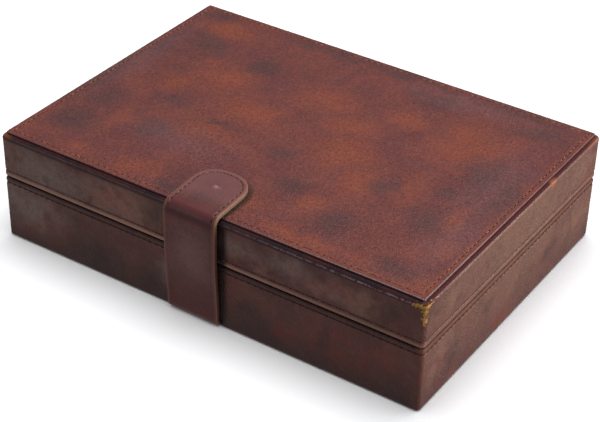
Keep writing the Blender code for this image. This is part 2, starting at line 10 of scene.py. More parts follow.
import bmesh
import bpy
from mathutils import Matrix, Vector, noise
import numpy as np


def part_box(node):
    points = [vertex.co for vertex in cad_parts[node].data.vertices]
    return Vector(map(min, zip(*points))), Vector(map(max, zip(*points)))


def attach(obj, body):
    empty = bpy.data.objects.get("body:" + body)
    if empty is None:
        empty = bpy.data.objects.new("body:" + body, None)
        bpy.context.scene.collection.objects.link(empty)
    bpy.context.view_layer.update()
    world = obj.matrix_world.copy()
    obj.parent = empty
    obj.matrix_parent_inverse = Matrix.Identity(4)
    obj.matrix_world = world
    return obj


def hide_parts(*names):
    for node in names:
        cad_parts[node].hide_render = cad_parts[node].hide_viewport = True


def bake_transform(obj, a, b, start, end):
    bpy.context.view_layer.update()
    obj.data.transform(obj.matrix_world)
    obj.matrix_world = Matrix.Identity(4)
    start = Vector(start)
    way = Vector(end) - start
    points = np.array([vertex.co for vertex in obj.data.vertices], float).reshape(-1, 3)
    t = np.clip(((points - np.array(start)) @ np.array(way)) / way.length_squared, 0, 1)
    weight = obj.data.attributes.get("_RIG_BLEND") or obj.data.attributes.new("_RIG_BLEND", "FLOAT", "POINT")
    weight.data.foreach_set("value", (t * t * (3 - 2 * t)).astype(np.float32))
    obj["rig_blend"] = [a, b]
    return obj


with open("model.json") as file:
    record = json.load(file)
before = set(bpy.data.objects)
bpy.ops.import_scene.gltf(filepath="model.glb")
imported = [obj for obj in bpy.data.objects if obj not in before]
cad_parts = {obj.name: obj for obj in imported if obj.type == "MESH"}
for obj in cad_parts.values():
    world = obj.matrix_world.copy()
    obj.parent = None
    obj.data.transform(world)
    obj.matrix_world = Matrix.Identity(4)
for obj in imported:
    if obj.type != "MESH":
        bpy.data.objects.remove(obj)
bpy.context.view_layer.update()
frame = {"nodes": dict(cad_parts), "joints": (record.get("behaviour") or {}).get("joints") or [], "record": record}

MM = 0.001

# Places and sizes read from the frame
BASE_LOW, BASE_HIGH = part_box("base_side_leather")
LID_LOW, LID_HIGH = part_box("lid_side_leather")
PANEL_LOW, PANEL_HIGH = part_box("lid_top_panel")
RISER_LOW, RISER_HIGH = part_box("strap_riser_outer")
TIP_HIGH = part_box("strap_tip_outer")[1]
TAIL_LOW, TAIL_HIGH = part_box("strap_tail")
JOINTS = {joint["name"]: joint for joint in frame["joints"]}
HALF_X = LID_HIGH.x
HALF_Y = LID_HIGH.y
STRAP_X = (RISER_LOW.x + RISER_HIGH.x) / 2
STRAP_HALF = (RISER_HIGH.x - RISER_LOW.x) / 2
FOLD = Vector(JOINTS["strap_swing"]["pos_m"])
TIP_FOLD = Vector(JOINTS["strap_tip_lift"]["pos_m"])

# The strap
STRAP_THICK = 2.7 * MM
STRAP_BULGE = 2.2 * MM
TIP_ROUND = 18.0 * MM
TIP_POWER = 2.3
TIP_LEAN = 2.0 * MM
TAIL_RADIUS = 3.85 * MM
BEND_RADIUS = 5.5 * MM
STITCH_INSET = 2.9 * MM

# Leather work
LEATHER = 1.2 * MM
BOARD_EDGE_BASE = 6.5 * MM
BOARD_EDGE_LID = 5.5 * MM
CORNER_RADIUS = 3.0 * MM
LEAST_RADIUS = 0.5 * MM
PANEL_CORNER_RADIUS = 1.9 * MM
FOOT_RADIUS = 2.2 * MM
RIM_RADIUS = 1.4 * MM
BEAD_RADIUS = 1.5 * MM
SHOULDER_RADIUS = 3.0 * MM
SHOULDER_FLANGE = 12.0 * MM
LID_SEAM_FROM_RIM = 4.2 * MM
BASE_SEAM_FROM_RIM = 3.5 * MM
PANEL_SEAM_INSET = 3.7 * MM
THREAD_INSET = 0.42 * MM
STITCH_PITCH = 4.5 * MM
STITCH_RADIUS = 0.34 * MM
HOLE_RADIUS = 0.52 * MM
LEATHER_WAVE = 0.10 * MM
LINE_STEP = 2.0 * MM


# Node trees


class Shader:
    """A material and short ways to add nodes to it. A value may be a number, a colour or a socket."""

    def __init__(self, name, source="Object"):
        self.material = bpy.data.materials.new(name)
        self.material.use_nodes = True
        self.nodes = self.material.node_tree.nodes
        self.links = self.material.node_tree.links
        self.surface = self.nodes["Principled BSDF"]
        place = self.add("ShaderNodeTexCoord").outputs[source]
        self.where = self.vector("MULTIPLY", place, (1 / MM,) * 3)

    def put(self, socket, value):
        if isinstance(value, bpy.types.NodeSocket):
            self.links.new(value, socket)
        elif isinstance(value, (tuple, list)) and socket.type == "RGBA" and len(value) == 3:
            socket.default_value = (*value, 1.0)
        else:
            socket.default_value = value

    def add(self, kind, inputs=None, **settings):
        node = self.nodes.new(kind)
        for key, value in settings.items():
            setattr(node, key, value)
        for key, value in (inputs or {}).items():
            self.put(node.inputs[key], value)
        return node

    def math(self, operation, first, second=0.0):
        return self.add("ShaderNodeMath", {0: first, 1: second}, operation=operation).outputs[0]

    def times(self, first, second):
        return self.math("MULTIPLY", first, second)

    def plus(self, first, second):
        return self.math("ADD", first, second)

    def extreme(self, operation, values):
        """The MAXIMUM or the MINIMUM of several values."""
        total = values[0]
        for value in values[1:]:
            total = self.math(operation, total, value)
        return total

    def vector(self, operation, first, second=(0.0, 0.0, 0.0)):
        node = self.add("ShaderNodeVectorMath", {0: first, 1: second}, operation=operation)
        return node.outputs["Value" if operation in ("LENGTH", "DOT_PRODUCT") else "Vector"]

    def noise(self, size, detail=3, roughness=0.55, distortion=0, stretch=None):
        """Noise from 0 to 1 whose features are about this many millimetres across."""
        where = self.vector("MULTIPLY", self.where, stretch) if stretch else self.where
        inputs = {"Vector": where, "Scale": 1 / size, "Detail": detail}
        inputs.update({"Roughness": roughness, "Distortion": distortion})
        return self.add("ShaderNodeTexNoise", inputs).outputs["Fac"]

    def noise_vector(self, size):
        inputs = {"Vector": self.where, "Scale": 1 / size, "Detail": 2.0}
        return self.add("ShaderNodeTexNoise", inputs).outputs["Color"]

    def drifted(self, size, reach):
        """The place, moved about in swirls of this size."""
        drift = self.vector("SUBTRACT", self.noise_vector(size), (0.5, 0.5, 0.5))
        moved = self.vector("MULTIPLY_ADD", drift, reach)
        self.put(moved.node.inputs[2], self.where)
        return moved

    def wave(self, scale, distortion=0.0, direction="X"):
        inputs = {"Vector": self.where, "Scale": scale, "Distortion": distortion}
        return self.add("ShaderNodeTexWave", inputs, bands_direction=direction).outputs["Fac"]

    def span(self, value, low, high, to_low=0.0, to_high=1.0):
        """A smooth step from to_low to to_high as the value goes from low to high."""
        inputs = {"Value": value, "From Min": low, "From Max": high, "To Min": to_low, "To Max": to_high}
        node = self.add("ShaderNodeMapRange", inputs, interpolation_type="SMOOTHSTEP")
        return node.outputs["Result"]

    def mix(self, share, first, second):
        node = self.add("ShaderNodeMix", data_type="RGBA")
        for key, value in (("Factor", share), (6, first), (7, second)):
            self.put(node.inputs[key], value)
        return node.outputs[2]

    def tones(self, value, low, high, dark, light):
        """A colour that goes from dark to light as the value goes from low to high."""
        return self.mix(self.span(value, low, high), dark, light)

    def layers(self, colour, *pairs):
        """Lays tones over a colour. A share is a socket, or a painted attribute and its strength."""
        for share, tone in pairs:
            if isinstance(share, tuple):
                share = self.times(self.attribute(share[0]), share[1])
            colour = self.mix(share, colour, tone)
        return colour

    def attribute(self, name):
        return self.add("ShaderNodeAttribute", attribute_name=name).outputs["Fac"]

    def distance(self, where, middle, radii):
        """The distance from a middle, measured in radii."""
        offset = self.vector("SUBTRACT", where, middle)
        return self.vector("LENGTH", self.vector("DIVIDE", offset, radii))

    def cloud(self, where, spots):
        """The strongest of several soft ellipsoids, each given as its middle and then its radii."""
        found = [self.span(self.distance(where, spot[:3], spot[3:]), 0.0, 1.0, 1.0, 0.0) for spot in spots]
        return self.extreme("MAXIMUM", found)

    def bump(self, height, strength, distance, under=None):
        """Bump from a height of 0 to 1, which stands for this many millimetres."""
        inputs = {"Height": height, "Strength": strength, "Distance": distance * MM}
        if under is not None:
            inputs["Normal"] = under
        return self.add("ShaderNodeBump", inputs).outputs["Normal"]

    def finish(self, colour, roughness, normal=None, level=0.5, **fixed):
        """Fills in the surface. level is how strongly it reflects straight on."""
        fixed.update({"Base Color": colour, "Roughness": roughness, "Specular IOR Level": level})
        if normal is not None:
            fixed["Normal"] = normal
        for key, value in fixed.items():
            self.put(self.surface.inputs[key.replace("_", " ")], value)
        return self.material


def leather_grain(look, pebble=2.0, depth=0.30, share=1.0):
    """Pebbled grain with pores, wrinkles and faint waves: gives back a normal. share flattens it."""
    bend = look.vector("SCALE", look.noise_vector(3.0))
    bend.node.inputs["Scale"].default_value = 1.6
    cell_inputs = {"Vector": look.vector("ADD", look.where, bend), "Scale": 1 / pebble}
    cells = look.add("ShaderNodeTexVoronoi", cell_inputs, feature="DISTANCE_TO_EDGE").outputs["Distance"]
    pebbles = look.span(cells, 0.0, 0.4)
    wrinkles = look.noise(3.2, 4, 0.65, 1.6)
    patches = look.times(look.span(look.noise(30, 2), 0.35, 0.65, 0.45, 1.0), share)
    pores = look.noise(0.35, 2, 0.7)
    waves = look.times(look.noise(11, 4, 0.6, 0.6), share)
    normal = look.bump(waves, 0.5, 0.8)
    normal = look.bump(look.times(wrinkles, patches), 0.7, depth * 3, normal)
    normal = look.bump(look.times(pebbles, patches), 0.7, depth, normal)
    return look.bump(pores, 0.4, 0.05, normal)


# Clouds of colour on the top: x and y of the middle, and the two radii, in millimetres
DARK_CLOUDS = (
    (4, -25, 17, 15), (-88, -16, 20, 14), (-67, 54, 19, 17), (124, 84, 28, 18), (74, -24, 15, 18),
    (69, -72, 22, 24), (114, -42, 19, 30), (-127, -38, 22, 22), (-124, -70, 27, 24), (-80, -50, 20, 20),
    (27, -54, 17, 14), (124, -92, 26, 13), (-140, 42, 14, 34), (138, 4, 13, 56), (-42, 99, 52, 12),
    (50, 84, 34, 16), (109, -8, 12, 13), (-50, -20, 14, 9), (-146, 92, 10, 16), (-30, -98, 22, 12),
    (-116, 58, 30, 26), (-132, 96, 24, 12), (20, 101, 90, 9), (110, 100, 50, 12), (-147, -10, 12, 90),
    (120, 20, 26, 40),
)
# Places with a paler, purple haze: painted sheen on the top
SHEEN_HAZES = ((128, 10, 26, 70), (136, -50, 20, 60), (-140, 20, 16, 90), (-60, -50, 60, 26), (70, 90, 70, 16))
WARM_GLOWS = (
    (90, 50, 40, 46), (34, -4, 34, 32), (-82, 26, 38, 30), (-8, 42, 40, 26), (-112, 82, 36, 18),
    (-40, 0, 38, 24), (60, -30, 30, 20), (-104, -54, 11, 28), (-58, -92, 28, 16), (127, -30, 11, 22),
    (50, -64, 15, 20), (88, -18, 14, 36), (-48, -34, 34, 18), (137, -94, 16, 12), (-102, -94, 18, 10),
    (21, 24, 28, 22), (47, 52, 22, 18), (-104, 6, 20, 18), (138, -60, 10, 16), (60, -96, 60, 8),
    (10, -84, 30, 14),
)

# Clouds of colour on the sides: the middle and then the radii, in millimetres
RED_CLOUDS = (
    (98, -109, 20, 40, 6, 21), (128, -109, 27, 14, 6, 12), (-66, -109, 62, 30, 6, 14),
    (62, -109, 15, 18, 6, 10), (96, -109, 62, 22, 6, 10), (155, -72, 4, 6, 34, 14),
    (155, -16, 8, 6, 20, 12), (-152, 20, 60, 6, 30, 14), (-152, -40, 22, 6, 26, 16),
    (30, 109, 22, 34, 6, 16), (-60, 109, 60, 26, 6, 12),
)
# Grey patches on the sides: painted sheen
GREY_SHEEN_CLOUDS = (
    (-134, -109, 30, 44, 6, 28), (-120, -109, 58, 72, 6, 28), (-72, -109, 60, 44, 6, 20),
    (24, -109, 62, 30, 6, 12), (62, -109, 64, 26, 6, 12), (-22, -109, 24, 16, 6, 20),
    (-148, -109, 38, 18, 6, 22), (96, -109, 60, 24, 6, 14), (-152, -70, 30, 6, 24, 18),
    (100, 109, 30, 30, 6, 20),
)
TAN_CLOUDS = (
    (152, 5, 62, 8, 170, 82), (-54, -109, 60, 44, 6, 26), (-62, -109, 58, 30, 6, 20),
    (112, -109, 60, 15, 6, 13), (152, 86, 24, 6, 46, 26), (152, 80, 62, 6, 56, 20),
    (152, -84, 34, 6, 30, 18), (152, -10, 62, 6, 80, 18), (152, -74, 62, 6, 56, 20),
    (152, 2, 26, 6, 30, 14), (152, -96, 22, 6, 13, 22),
)
ROSE_CLOUDS = ((-60, -109, 60, 40, 6, 22), (62, -112, 58, 96, 6, 13), (112, -111, 61, 22, 6, 12))
DARK_PLACES = (
    (-78, -109, 16, 34, 6, 22), (-38, -109, 14, 20, 6, 20), (88, -109, 22, 7, 6, 16),
    (38, -109, 20, 24, 6, 16), (-34, -109, 62, 12, 6, 18), (132, -109, 62, 8, 6, 8),
    (154, -74, 18, 6, 12, 16), (154, -34, 28, 6, 14, 12), (153, 48, 22, 6, 18, 12),
    (-152, 60, 20, 6, 30, 16), (-20, 109, 24, 26, 6, 16),
)


def top_leather():
    """Red-brown leather, mottled dark and warm, with a purple haze of painted sheen, a painted highlight along its
    edge and a painted shadow beside the strap's tip.
    """
    look = Shader("top_leather")
    drifted = look.drifted(16, (20, 20, 0))
    top = PANEL_HIGH.z / MM
    dark, sheen_haze, warm = [
        look.cloud(drifted, [(x, y, top, across, along, 50) for x, y, across, along in spots])
        for spots in (DARK_CLOUDS, SHEEN_HAZES, WARM_GLOWS)
    ]
    clouds = look.noise(34, 4, 0.55, 0.8)
    streaks = look.noise(7, 4, 0.65, 1.2)
    fine = look.noise(2.2, 4, 0.75, 0.5)
    colour = look.layers(
        look.tones(clouds, 0.34, 0.66, (0.132, 0.028, 0.027), (0.180, 0.038, 0.028)),
        (look.times(warm, look.span(clouds, 0.25, 0.62, 0.55, 0.85)), (0.262, 0.052, 0.020)),
        (look.times(dark, look.span(streaks, 0.25, 0.7, 0.60, 0.92)), (0.062, 0.024, 0.027)),
        (look.span(streaks, 0.42, 0.78, 0.0, 0.35), (0.220, 0.062, 0.040)),
        # painted sheen: a paler purple haze
        (look.times(sheen_haze, look.span(streaks, 0.3, 0.6, 0.25, 0.60)), (0.165, 0.066, 0.070)),
        (look.span(fine, 0.34, 0.57, 0.54, 0.0), (0.045, 0.012, 0.011)),
        (look.span(fine, 0.54, 0.72, 0.0, 0.22), (0.330, 0.100, 0.066)),
        (("seam", 0.75), (0.030, 0.010, 0.009)),
        (("tint", 0.5), (0.270, 0.062, 0.020)),
        # painted highlight along the panel's edge
        (("edge", 0.8), (0.400, 0.270, 0.250)),
        # painted shadow beside the strap's tip
        (look.times(strap_tip_shadow(look), 0.85), (0.014, 0.003, 0.002)),
        (("wall", 0.9), (0.026, 0.010, 0.011)),
    )
    rough = look.span(look.noise(14, 4), 0.3, 0.7, 0.40, 0.54)
    rough = look.plus(rough, look.times(look.attribute("wall"), 0.3))
    return look.finish(colour, rough, leather_grain(look, depth=0.46), 0.38)


def strap_tip_shadow(look):
    """A painted shadow that the strap's tip casts on the top, along the right of its outline."""
    middle = ((STRAP_X - 0.4 * MM) / MM, (TIP_HIGH.y - TIP_ROUND) / MM, 0.0)
    offset = look.vector("SUBTRACT", look.where, middle)
    right = look.span(look.vector("DOT_PRODUCT", offset, (1.0, 0.0, 0.0)), 3.0, 19.0)
    scaled = look.vector("DIVIDE", offset, (STRAP_HALF / MM, TIP_ROUND / MM, 1.0))
    beyond = look.vector("MAXIMUM", scaled, (0.0, 0.0, 0.0))
    flat = look.vector("MULTIPLY", beyond, (1.0, 1.0, 0.0))
    off_line = look.math("ABSOLUTE", look.math("SUBTRACT", look.vector("LENGTH", flat), 1.04))
    return look.times(right, look.span(off_line, 0.02, 0.20, 1.0, 0.0))


def side_leather():
    """Dark brown leather, redder in places, rubbed pale on its edges and torn at one corner, with painted sheen in
    grey patches, a painted highlight on the shoulder's ridge and painted shade near the floor, in the gap at the
    rim, in the crease and beside the strap.
    """
    look = Shader("side_leather")
    clouds = look.noise(42, 4, 0.55, 0.9)
    streaks = look.noise(8, 4, 0.65, 1.0)
    mottle = look.noise(2.4, 4, 0.75, 0.6)
    drifted = look.drifted(12, (18, 18, 18))
    uneven = look.span(streaks, 0.3, 0.65, 0.50, 0.90)
    even = look.span(streaks, 0.3, 0.65, 0.75, 0.95)
    tear, torn = torn_layers(look)
    colour = look.layers(
        look.tones(clouds, 0.36, 0.64, (0.086, 0.026, 0.022), (0.132, 0.038, 0.028)),
        (look.span(streaks, 0.4, 0.8, 0.0, 0.4), (0.170, 0.062, 0.046)),
        # painted sheen in grey patches
        (look.times(look.cloud(drifted, GREY_SHEEN_CLOUDS), even), (0.206, 0.136, 0.116)),
        (look.times(look.cloud(drifted, TAN_CLOUDS), even), (0.182, 0.086, 0.056)),
        (look.times(look.cloud(drifted, RED_CLOUDS), uneven), (0.190, 0.030, 0.020)),
        (look.times(look.cloud(drifted, ROSE_CLOUDS), uneven), (0.250, 0.108, 0.086)),
        (look.times(look.cloud(drifted, DARK_PLACES), uneven), (0.042, 0.015, 0.013)),
        (look.span(mottle, 0.30, 0.60, 0.30, 0.0), (0.026, 0.010, 0.010)),
        (look.span(mottle, 0.58, 0.80, 0.0, 0.22), (0.180, 0.098, 0.085)),
        # painted shade, darker towards the floor
        (("foot", 0.66), (0.010, 0.002, 0.002)),
        (("rim", 0.85), (0.380, 0.190, 0.140)),
        (("band", 0.84), (0.070, 0.022, 0.017)),
        # darker under the strap, and a painted shadow along its right edge
        (("covered", 0.95), (0.009, 0.003, 0.002)),
        # painted shade in the gap between lid and base
        (("dirt", 0.9), (0.010, 0.005, 0.004)),
        (("seam", 0.42), (0.034, 0.011, 0.009)),
        (("flush", 0.85), (0.280, 0.085, 0.034)),
        # painted shade in the crease under the shoulder
        (("crease", 0.85), (0.018, 0.007, 0.009)),
        *torn,
    )
    dull = look.math("MAXIMUM", look.attribute("band"), look.attribute("crease"))
    rough = look.span(look.noise(12, 4), 0.3, 0.7, 0.34, 0.50)
    rough = look.plus(look.plus(rough, look.times(tear, 0.3)), look.times(dull, 0.3))
    return look.finish(colour, rough, leather_grain(look), 0.40)


def shoulder_leather():
    """The rolled edge round the top: nearly black with handling, rubbed pale in specks that are partly a painted
    highlight.
    """
    look = Shader("shoulder_leather")
    colour = look.layers(
        look.tones(look.noise(16, 4, 0.6, 0.8), 0.38, 0.62, (0.020, 0.008, 0.011), (0.050, 0.011, 0.013)),
        (("wine", 0.9), (0.058, 0.009, 0.009)),
        (("flush", 0.85), (0.240, 0.066, 0.028)),
        *torn_layers(look)[1],
    )
    rough = look.span(look.noise(12, 4), 0.3, 0.7, 0.42, 0.56)
    rough = look.plus(rough, look.times(look.attribute("wine"), 0.15))
    return look.finish(colour, rough, leather_grain(look, 1.6, 0.2), 0.16)


def torn_layers(look):
    """Where the finish has worn off: how torn it is, and layers for the rubbed ridge, which is partly a painted
    highlight, and the tear.
    """
    shifted = look.drifted(2, (6, 6, 6))
    x, y, top = HALF_X / MM, -HALF_Y / MM, LID_HIGH.z / MM
    spots = (
        ((x - 1, y + 1, top - 4.0), (3.0, 2.8, 3.8)),
        ((x - 0.8, y + 0.8, top - 9), (1.7, 1.7, 6.5)),
        ((x - 4.2, y, top - 2.4), (4.8, 2.0, 1.3)),
        ((x, y + 3.6, top - 1.8), (2.0, 4.2, 1.5)),
    )
    reach = look.extreme("MINIMUM", [look.distance(shifted, middle, radii) for middle, radii in spots])
    flakes = look.span(look.noise(3.6, 2, 0.5), 0.27, 0.37)
    tear = look.times(look.span(reach, 0.75, 1.05, 1.0, 0.0), flakes)
    halo = look.times(look.span(reach, 1.0, 1.7, 1.0, 0.0), 0.75)
    rub_and_highlight = look.times(look.attribute("ridge"), look.span(look.noise(2.6, 4, 0.8), 0.44, 0.58))
    hide = look.tones(look.noise(1.4, 3, 0.7), 0.35, 0.65, (0.220, 0.100, 0.018), (0.430, 0.225, 0.048))
    hide = look.mix(look.span(look.noise(7, 2), 0.45, 0.6, 0.0, 0.7), hide, (0.500, 0.235, 0.120))
    return tear, ((rub_and_highlight, (0.215, 0.155, 0.190)), (halo, (0.075, 0.026, 0.012)), (tear, hide))


def strap_leather():
    """Burgundy leather, polished where it bends, with a paler margin outside the stitches, painted sheen on the
    upright and the tip, a painted highlight along its edges and painted shade under the bend.
    """
    look = Shader("strap_leather", "UV")
    streaks = look.noise(5, 4, 0.65, 0.8)
    colour = look.layers(
        look.tones(look.noise(22, 4, 0.55, 0.8), 0.36, 0.64, (0.084, 0.029, 0.027), (0.134, 0.040, 0.034)),
        (look.span(streaks, 0.4, 0.8, 0.0, 0.4), (0.150, 0.062, 0.052)),
        # painted sheen, lighter in the middle of the upright
        (("pale", 0.8), (0.205, 0.098, 0.086)),
        (("low", 0.7), (0.105, 0.018, 0.018)),
        (look.span(look.noise(2, 4, 0.75, 0.6), 0.30, 0.60, 0.4, 0.0), (0.034, 0.012, 0.012)),
        (("bend", 0.8), (0.112, 0.013, 0.016)),
        (("shade", 0.6), (0.022, 0.004, 0.005)),
        # the tip's lighter tone, partly painted sheen
        (("tip", 0.7), (0.172, 0.062, 0.064)),
        # paler margin, with a painted highlight along the outermost edge
        (("margin", 0.8), (0.260, 0.110, 0.076)),
        (("seam", 0.7), (0.030, 0.008, 0.008)),
        (("mark", 0.8), (0.420, 0.270, 0.240)),
    )
    bend = look.attribute("bend")
    rough = look.span(look.noise(9, 4), 0.3, 0.7, 0.34, 0.48)
    rough = look.plus(rough, look.times(bend, 0.06))
    flat = look.span(bend, 0.0, 0.8, 1.0, 0.06)
    return look.finish(colour, rough, leather_grain(look, 1.6, 0.13, flat), 0.34)


def cut_edge():
    """The strap's raw cut edge: two tan layers with a dark glue line between them."""
    look = Shader("strap_cut_edge", "UV")
    fibres = look.noise(1.1, 4, 0.7)
    tan = look.tones(fibres, 0.3, 0.7, (0.105, 0.056, 0.030), (0.220, 0.130, 0.075))
    brown = look.tones(fibres, 0.3, 0.7, (0.085, 0.032, 0.022), (0.180, 0.074, 0.052))
    glue = look.span(look.math("ABSOLUTE", look.attribute("layer")), 0.0, 0.16, 1.0, 0.0)
    colour = look.mix(look.attribute("high"), brown, tan)
    colour = look.mix(look.times(glue, 0.6), colour, (0.060, 0.022, 0.012))
    return look.finish(colour, 0.62, look.bump(fibres, 0.6, 0.15), 0.3)


def suede():
    look = Shader("strap_backing", "UV")
    fibres = look.noise(0.5, 4, 0.75)
    colour = look.tones(look.noise(12, 4), 0.35, 0.65, (0.150, 0.070, 0.036), (0.235, 0.120, 0.062))
    colour = look.mix(look.span(fibres, 0.3, 0.7, 0.4, 0.0), colour, (0.080, 0.034, 0.016))
    return look.finish(colour, 0.85, look.bump(fibres, 0.7, 0.12), 0.2)


def underside_leather():
    look = Shader("bottom_leather")
    colour = look.tones(look.noise(18, 4), 0.35, 0.65, (0.030, 0.015, 0.012), (0.052, 0.024, 0.018))
    scuffs = look.noise(1.6, 4, 0.75, stretch=(0.15, 1.0, 1.0))
    colour = look.mix(look.span(scuffs, 0.62, 0.78, 0.0, 0.5), colour, (0.120, 0.075, 0.055))
    return look.finish(colour, 0.62, leather_grain(look, 1.0, 0.12), 0.3)


def thread(name, dark, light):
    """Waxed thread: its strands are twisted, and its colour varies from stitch to stitch."""
    look = Shader(name)
    colour = look.tones(look.noise(3), 0.35, 0.65, dark, light)
    return look.finish(colour, 0.55, look.bump(look.wave(1.1, 0.5), 0.5, 0.1), 0.3)


def needle_hole():
    look = Shader("needle_hole")
    dust = look.noise(0.4, 2)
    colour = look.mix(dust, (0.004, 0.002, 0.002), (0.022, 0.010, 0.008))
    return look.finish(colour, 0.9, look.bump(dust, 0.3, 0.05), 0.05)


def felt():
    """Flocked green felt: short fibres, slightly worn, with a faint nap."""
    look = Shader("green_felt")
    fibres = look.noise(0.45, 4, 0.8)
    nap = look.noise(9, 4, 0.6, 0.5, (1.0, 0.35, 1.0))
    colour = look.tones(nap, 0.35, 0.65, (0.008, 0.052, 0.026), (0.014, 0.080, 0.041))
    colour = look.mix(look.span(fibres, 0.35, 0.75, 0.0, 0.5), colour, (0.040, 0.140, 0.080))
    normal = look.bump(fibres, 0.8, 0.22, look.bump(nap, 0.3, 0.3))
    return look.finish(colour, 0.95, normal, 0.1, Sheen_Weight=0.18, Sheen_Roughness=0.5)


def satin():
    """Green satin on the lid's padding: a fine twill with soft sheen."""
    look = Shader("lid_satin")
    slubs = look.noise(0.9, 3, 0.7, stretch=(0.12, 1.0, 1.0))
    colour = look.layers(
        look.tones(look.noise(26), 0.35, 0.65, (0.010, 0.062, 0.033), (0.017, 0.088, 0.048)),
        (look.span(slubs, 0.45, 0.75, 0.0, 0.4), (0.035, 0.130, 0.078)),
        (("seam", 0.85), (0.002, 0.016, 0.009)),
    )
    twill = look.wave(1.6, direction="DIAGONAL")
    normal = look.bump(twill, 0.35, 0.08, look.bump(slubs, 0.3, 0.08))
    rough = look.span(slubs, 0.3, 0.7, 0.40, 0.52)
    return look.finish(colour, rough, normal, Sheen_Weight=0.25, Sheen_Roughness=0.35)


def plywood():
    look = Shader("plywood")
    grain = look.noise(1.8, 4, 0.7, 0.4, (0.06, 1.0, 1.0))
    colour = look.tones(grain, 0.3, 0.7, (0.330, 0.200, 0.100), (0.540, 0.380, 0.215))
    plies = look.times(look.wave(0.35, direction="Z"), 0.4)
    colour = look.mix(plies, colour, (0.270, 0.150, 0.070))
    return look.finish(colour, 0.75, look.bump(grain, 0.4, 0.15), 0.25)


def grey_board():
    look = Shader("card")
    flecks = look.noise(1.2, 4, 0.8)
    colour = look.tones(flecks, 0.3, 0.7, (0.300, 0.260, 0.200), (0.470, 0.420, 0.340))
    return look.finish(colour, 0.9, look.bump(flecks, 0.3, 0.1), 0.2)


def brass():
    """Brass gone dull and brown in the hollows, with fine scratches."""
    look = Shader("brass")
    tarnish = look.noise(5, 4, 0.65, 0.5)
    colour = look.tones(tarnish, 0.38, 0.70, (0.620, 0.430, 0.190), (0.330, 0.200, 0.090))
    scratches = look.noise(0.35, 3, 0.8, stretch=(1.0, 0.5, 0.06))
    rough = look.span(scratches, 0.3, 0.7, 0.26, 0.44)
    return look.finish(colour, rough, look.bump(scratches, 0.35, 0.04), Metallic=1.0)


def steel():
    look = Shader("steel")
    brushed = look.noise(0.3, 3, 0.8, stretch=(0.1, 1.0, 1.0))
    colour = look.tones(brushed, 0.3, 0.7, (0.400, 0.400, 0.400), (0.600, 0.600, 0.590))
    rough = look.span(brushed, 0.3, 0.7, 0.28, 0.42)
    return look.finish(colour, rough, look.bump(brushed, 0.3, 0.03), Metallic=1.0)


FINISHES = {
    "top_leather": top_leather(),
    "side_leather": side_leather(),
    "strap_leather": strap_leather(),
    "strap_backing": suede(),
    "bottom_leather": underside_leather(),
    "plywood": plywood(),
    "card": grey_board(),
    "green_felt": felt(),
    "lid_satin": satin(),
    "brass": brass(),
    "steel": steel(),
}
CUT_EDGE = cut_edge()
SHOULDER = shoulder_leather()
TOP_THREAD = thread("top_thread", (0.120, 0.032, 0.020), (0.340, 0.118, 0.070))
SIDE_THREAD = thread("side_thread", (0.050, 0.014, 0.010), (0.150, 0.046, 0.028))
BASE_THREAD = thread("base_thread", (0.010, 0.004, 0.003), (0.034, 0.012, 0.008))
STRAP_THREAD = thread("strap_thread", (0.090, 0.030, 0.022), (0.230, 0.095, 0.060))
HOLE_DARK = needle_hole()


def dress_cad_nodes():
    """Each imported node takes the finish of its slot."""
    for part in frame["record"]["subparts"]:
        node = frame["nodes"][part["node"]]
        node.data.materials.clear()
        node.data.materials.append(FINISHES[part["material_slot"]])


# Mesh helpers


def to_object(name, bm, materials, sharp=40):
    """Turns a bmesh into an object with smooth faces and sharp edges kept sharp."""
    bmesh.ops.recalc_face_normals(bm, faces=bm.faces[:])
    mesh = bpy.data.meshes.new(name)
    bm.to_mesh(mesh)
    bm.free()
    mesh.shade_smooth()
    mesh.set_sharp_from_angle(angle=math.radians(sharp))
    for material in materials:
        mesh.materials.append(material)
    made = bpy.data.objects.new(name, mesh)
    bpy.context.scene.collection.objects.link(made)
    return made


def paint(piece, name, values):
    """Stores one number for each vertex, for the materials to read."""
    attribute = piece.data.attributes.new(name, "FLOAT", "POINT")
    attribute.data.foreach_set("value", values)


def paint_by_place(piece, **rules):
    """Paints a piece with numbers that follow from the place of each vertex."""
    places = [vertex.co.copy() for vertex in piece.data.vertices]
    for name, rule in rules.items():
        paint(piece, name, [rule(place) for place in places])


def step(value, low, high):
    """A smooth step from 0 at low to 1 at high."""
    share = min(max((value - low) / (high - low), 0.0), 1.0)
    return share * share * (3 - 2 * share)


def bell(value, centre, half_width):
    """1 at the centre and 0 half_width away from it."""
    return 1 - step(abs(value - centre), 0.0, half_width)


def arc(centre, radius, start, end, steps):
    """Points on a round stretch, with angles in quarter turns."""
    points = []
    for index in range(steps + 1):
        angle = (start + (end - start) * index / steps) * math.pi / 2
        points.append((centre[0] + radius * math.cos(angle), centre[1] + radius * math.sin(angle)))
    return points


def between(start, end, steps):
    """Evenly spaced values from start to end, with both of them."""
    return [start + (end - start) * index / steps for index in range(steps + 1)]


def from_height(z, *pairs):
    """Profile points from pairs in millimetres: an inset, and a height above z."""
    return [(inset * MM, z + above * MM) for inset, above in pairs]


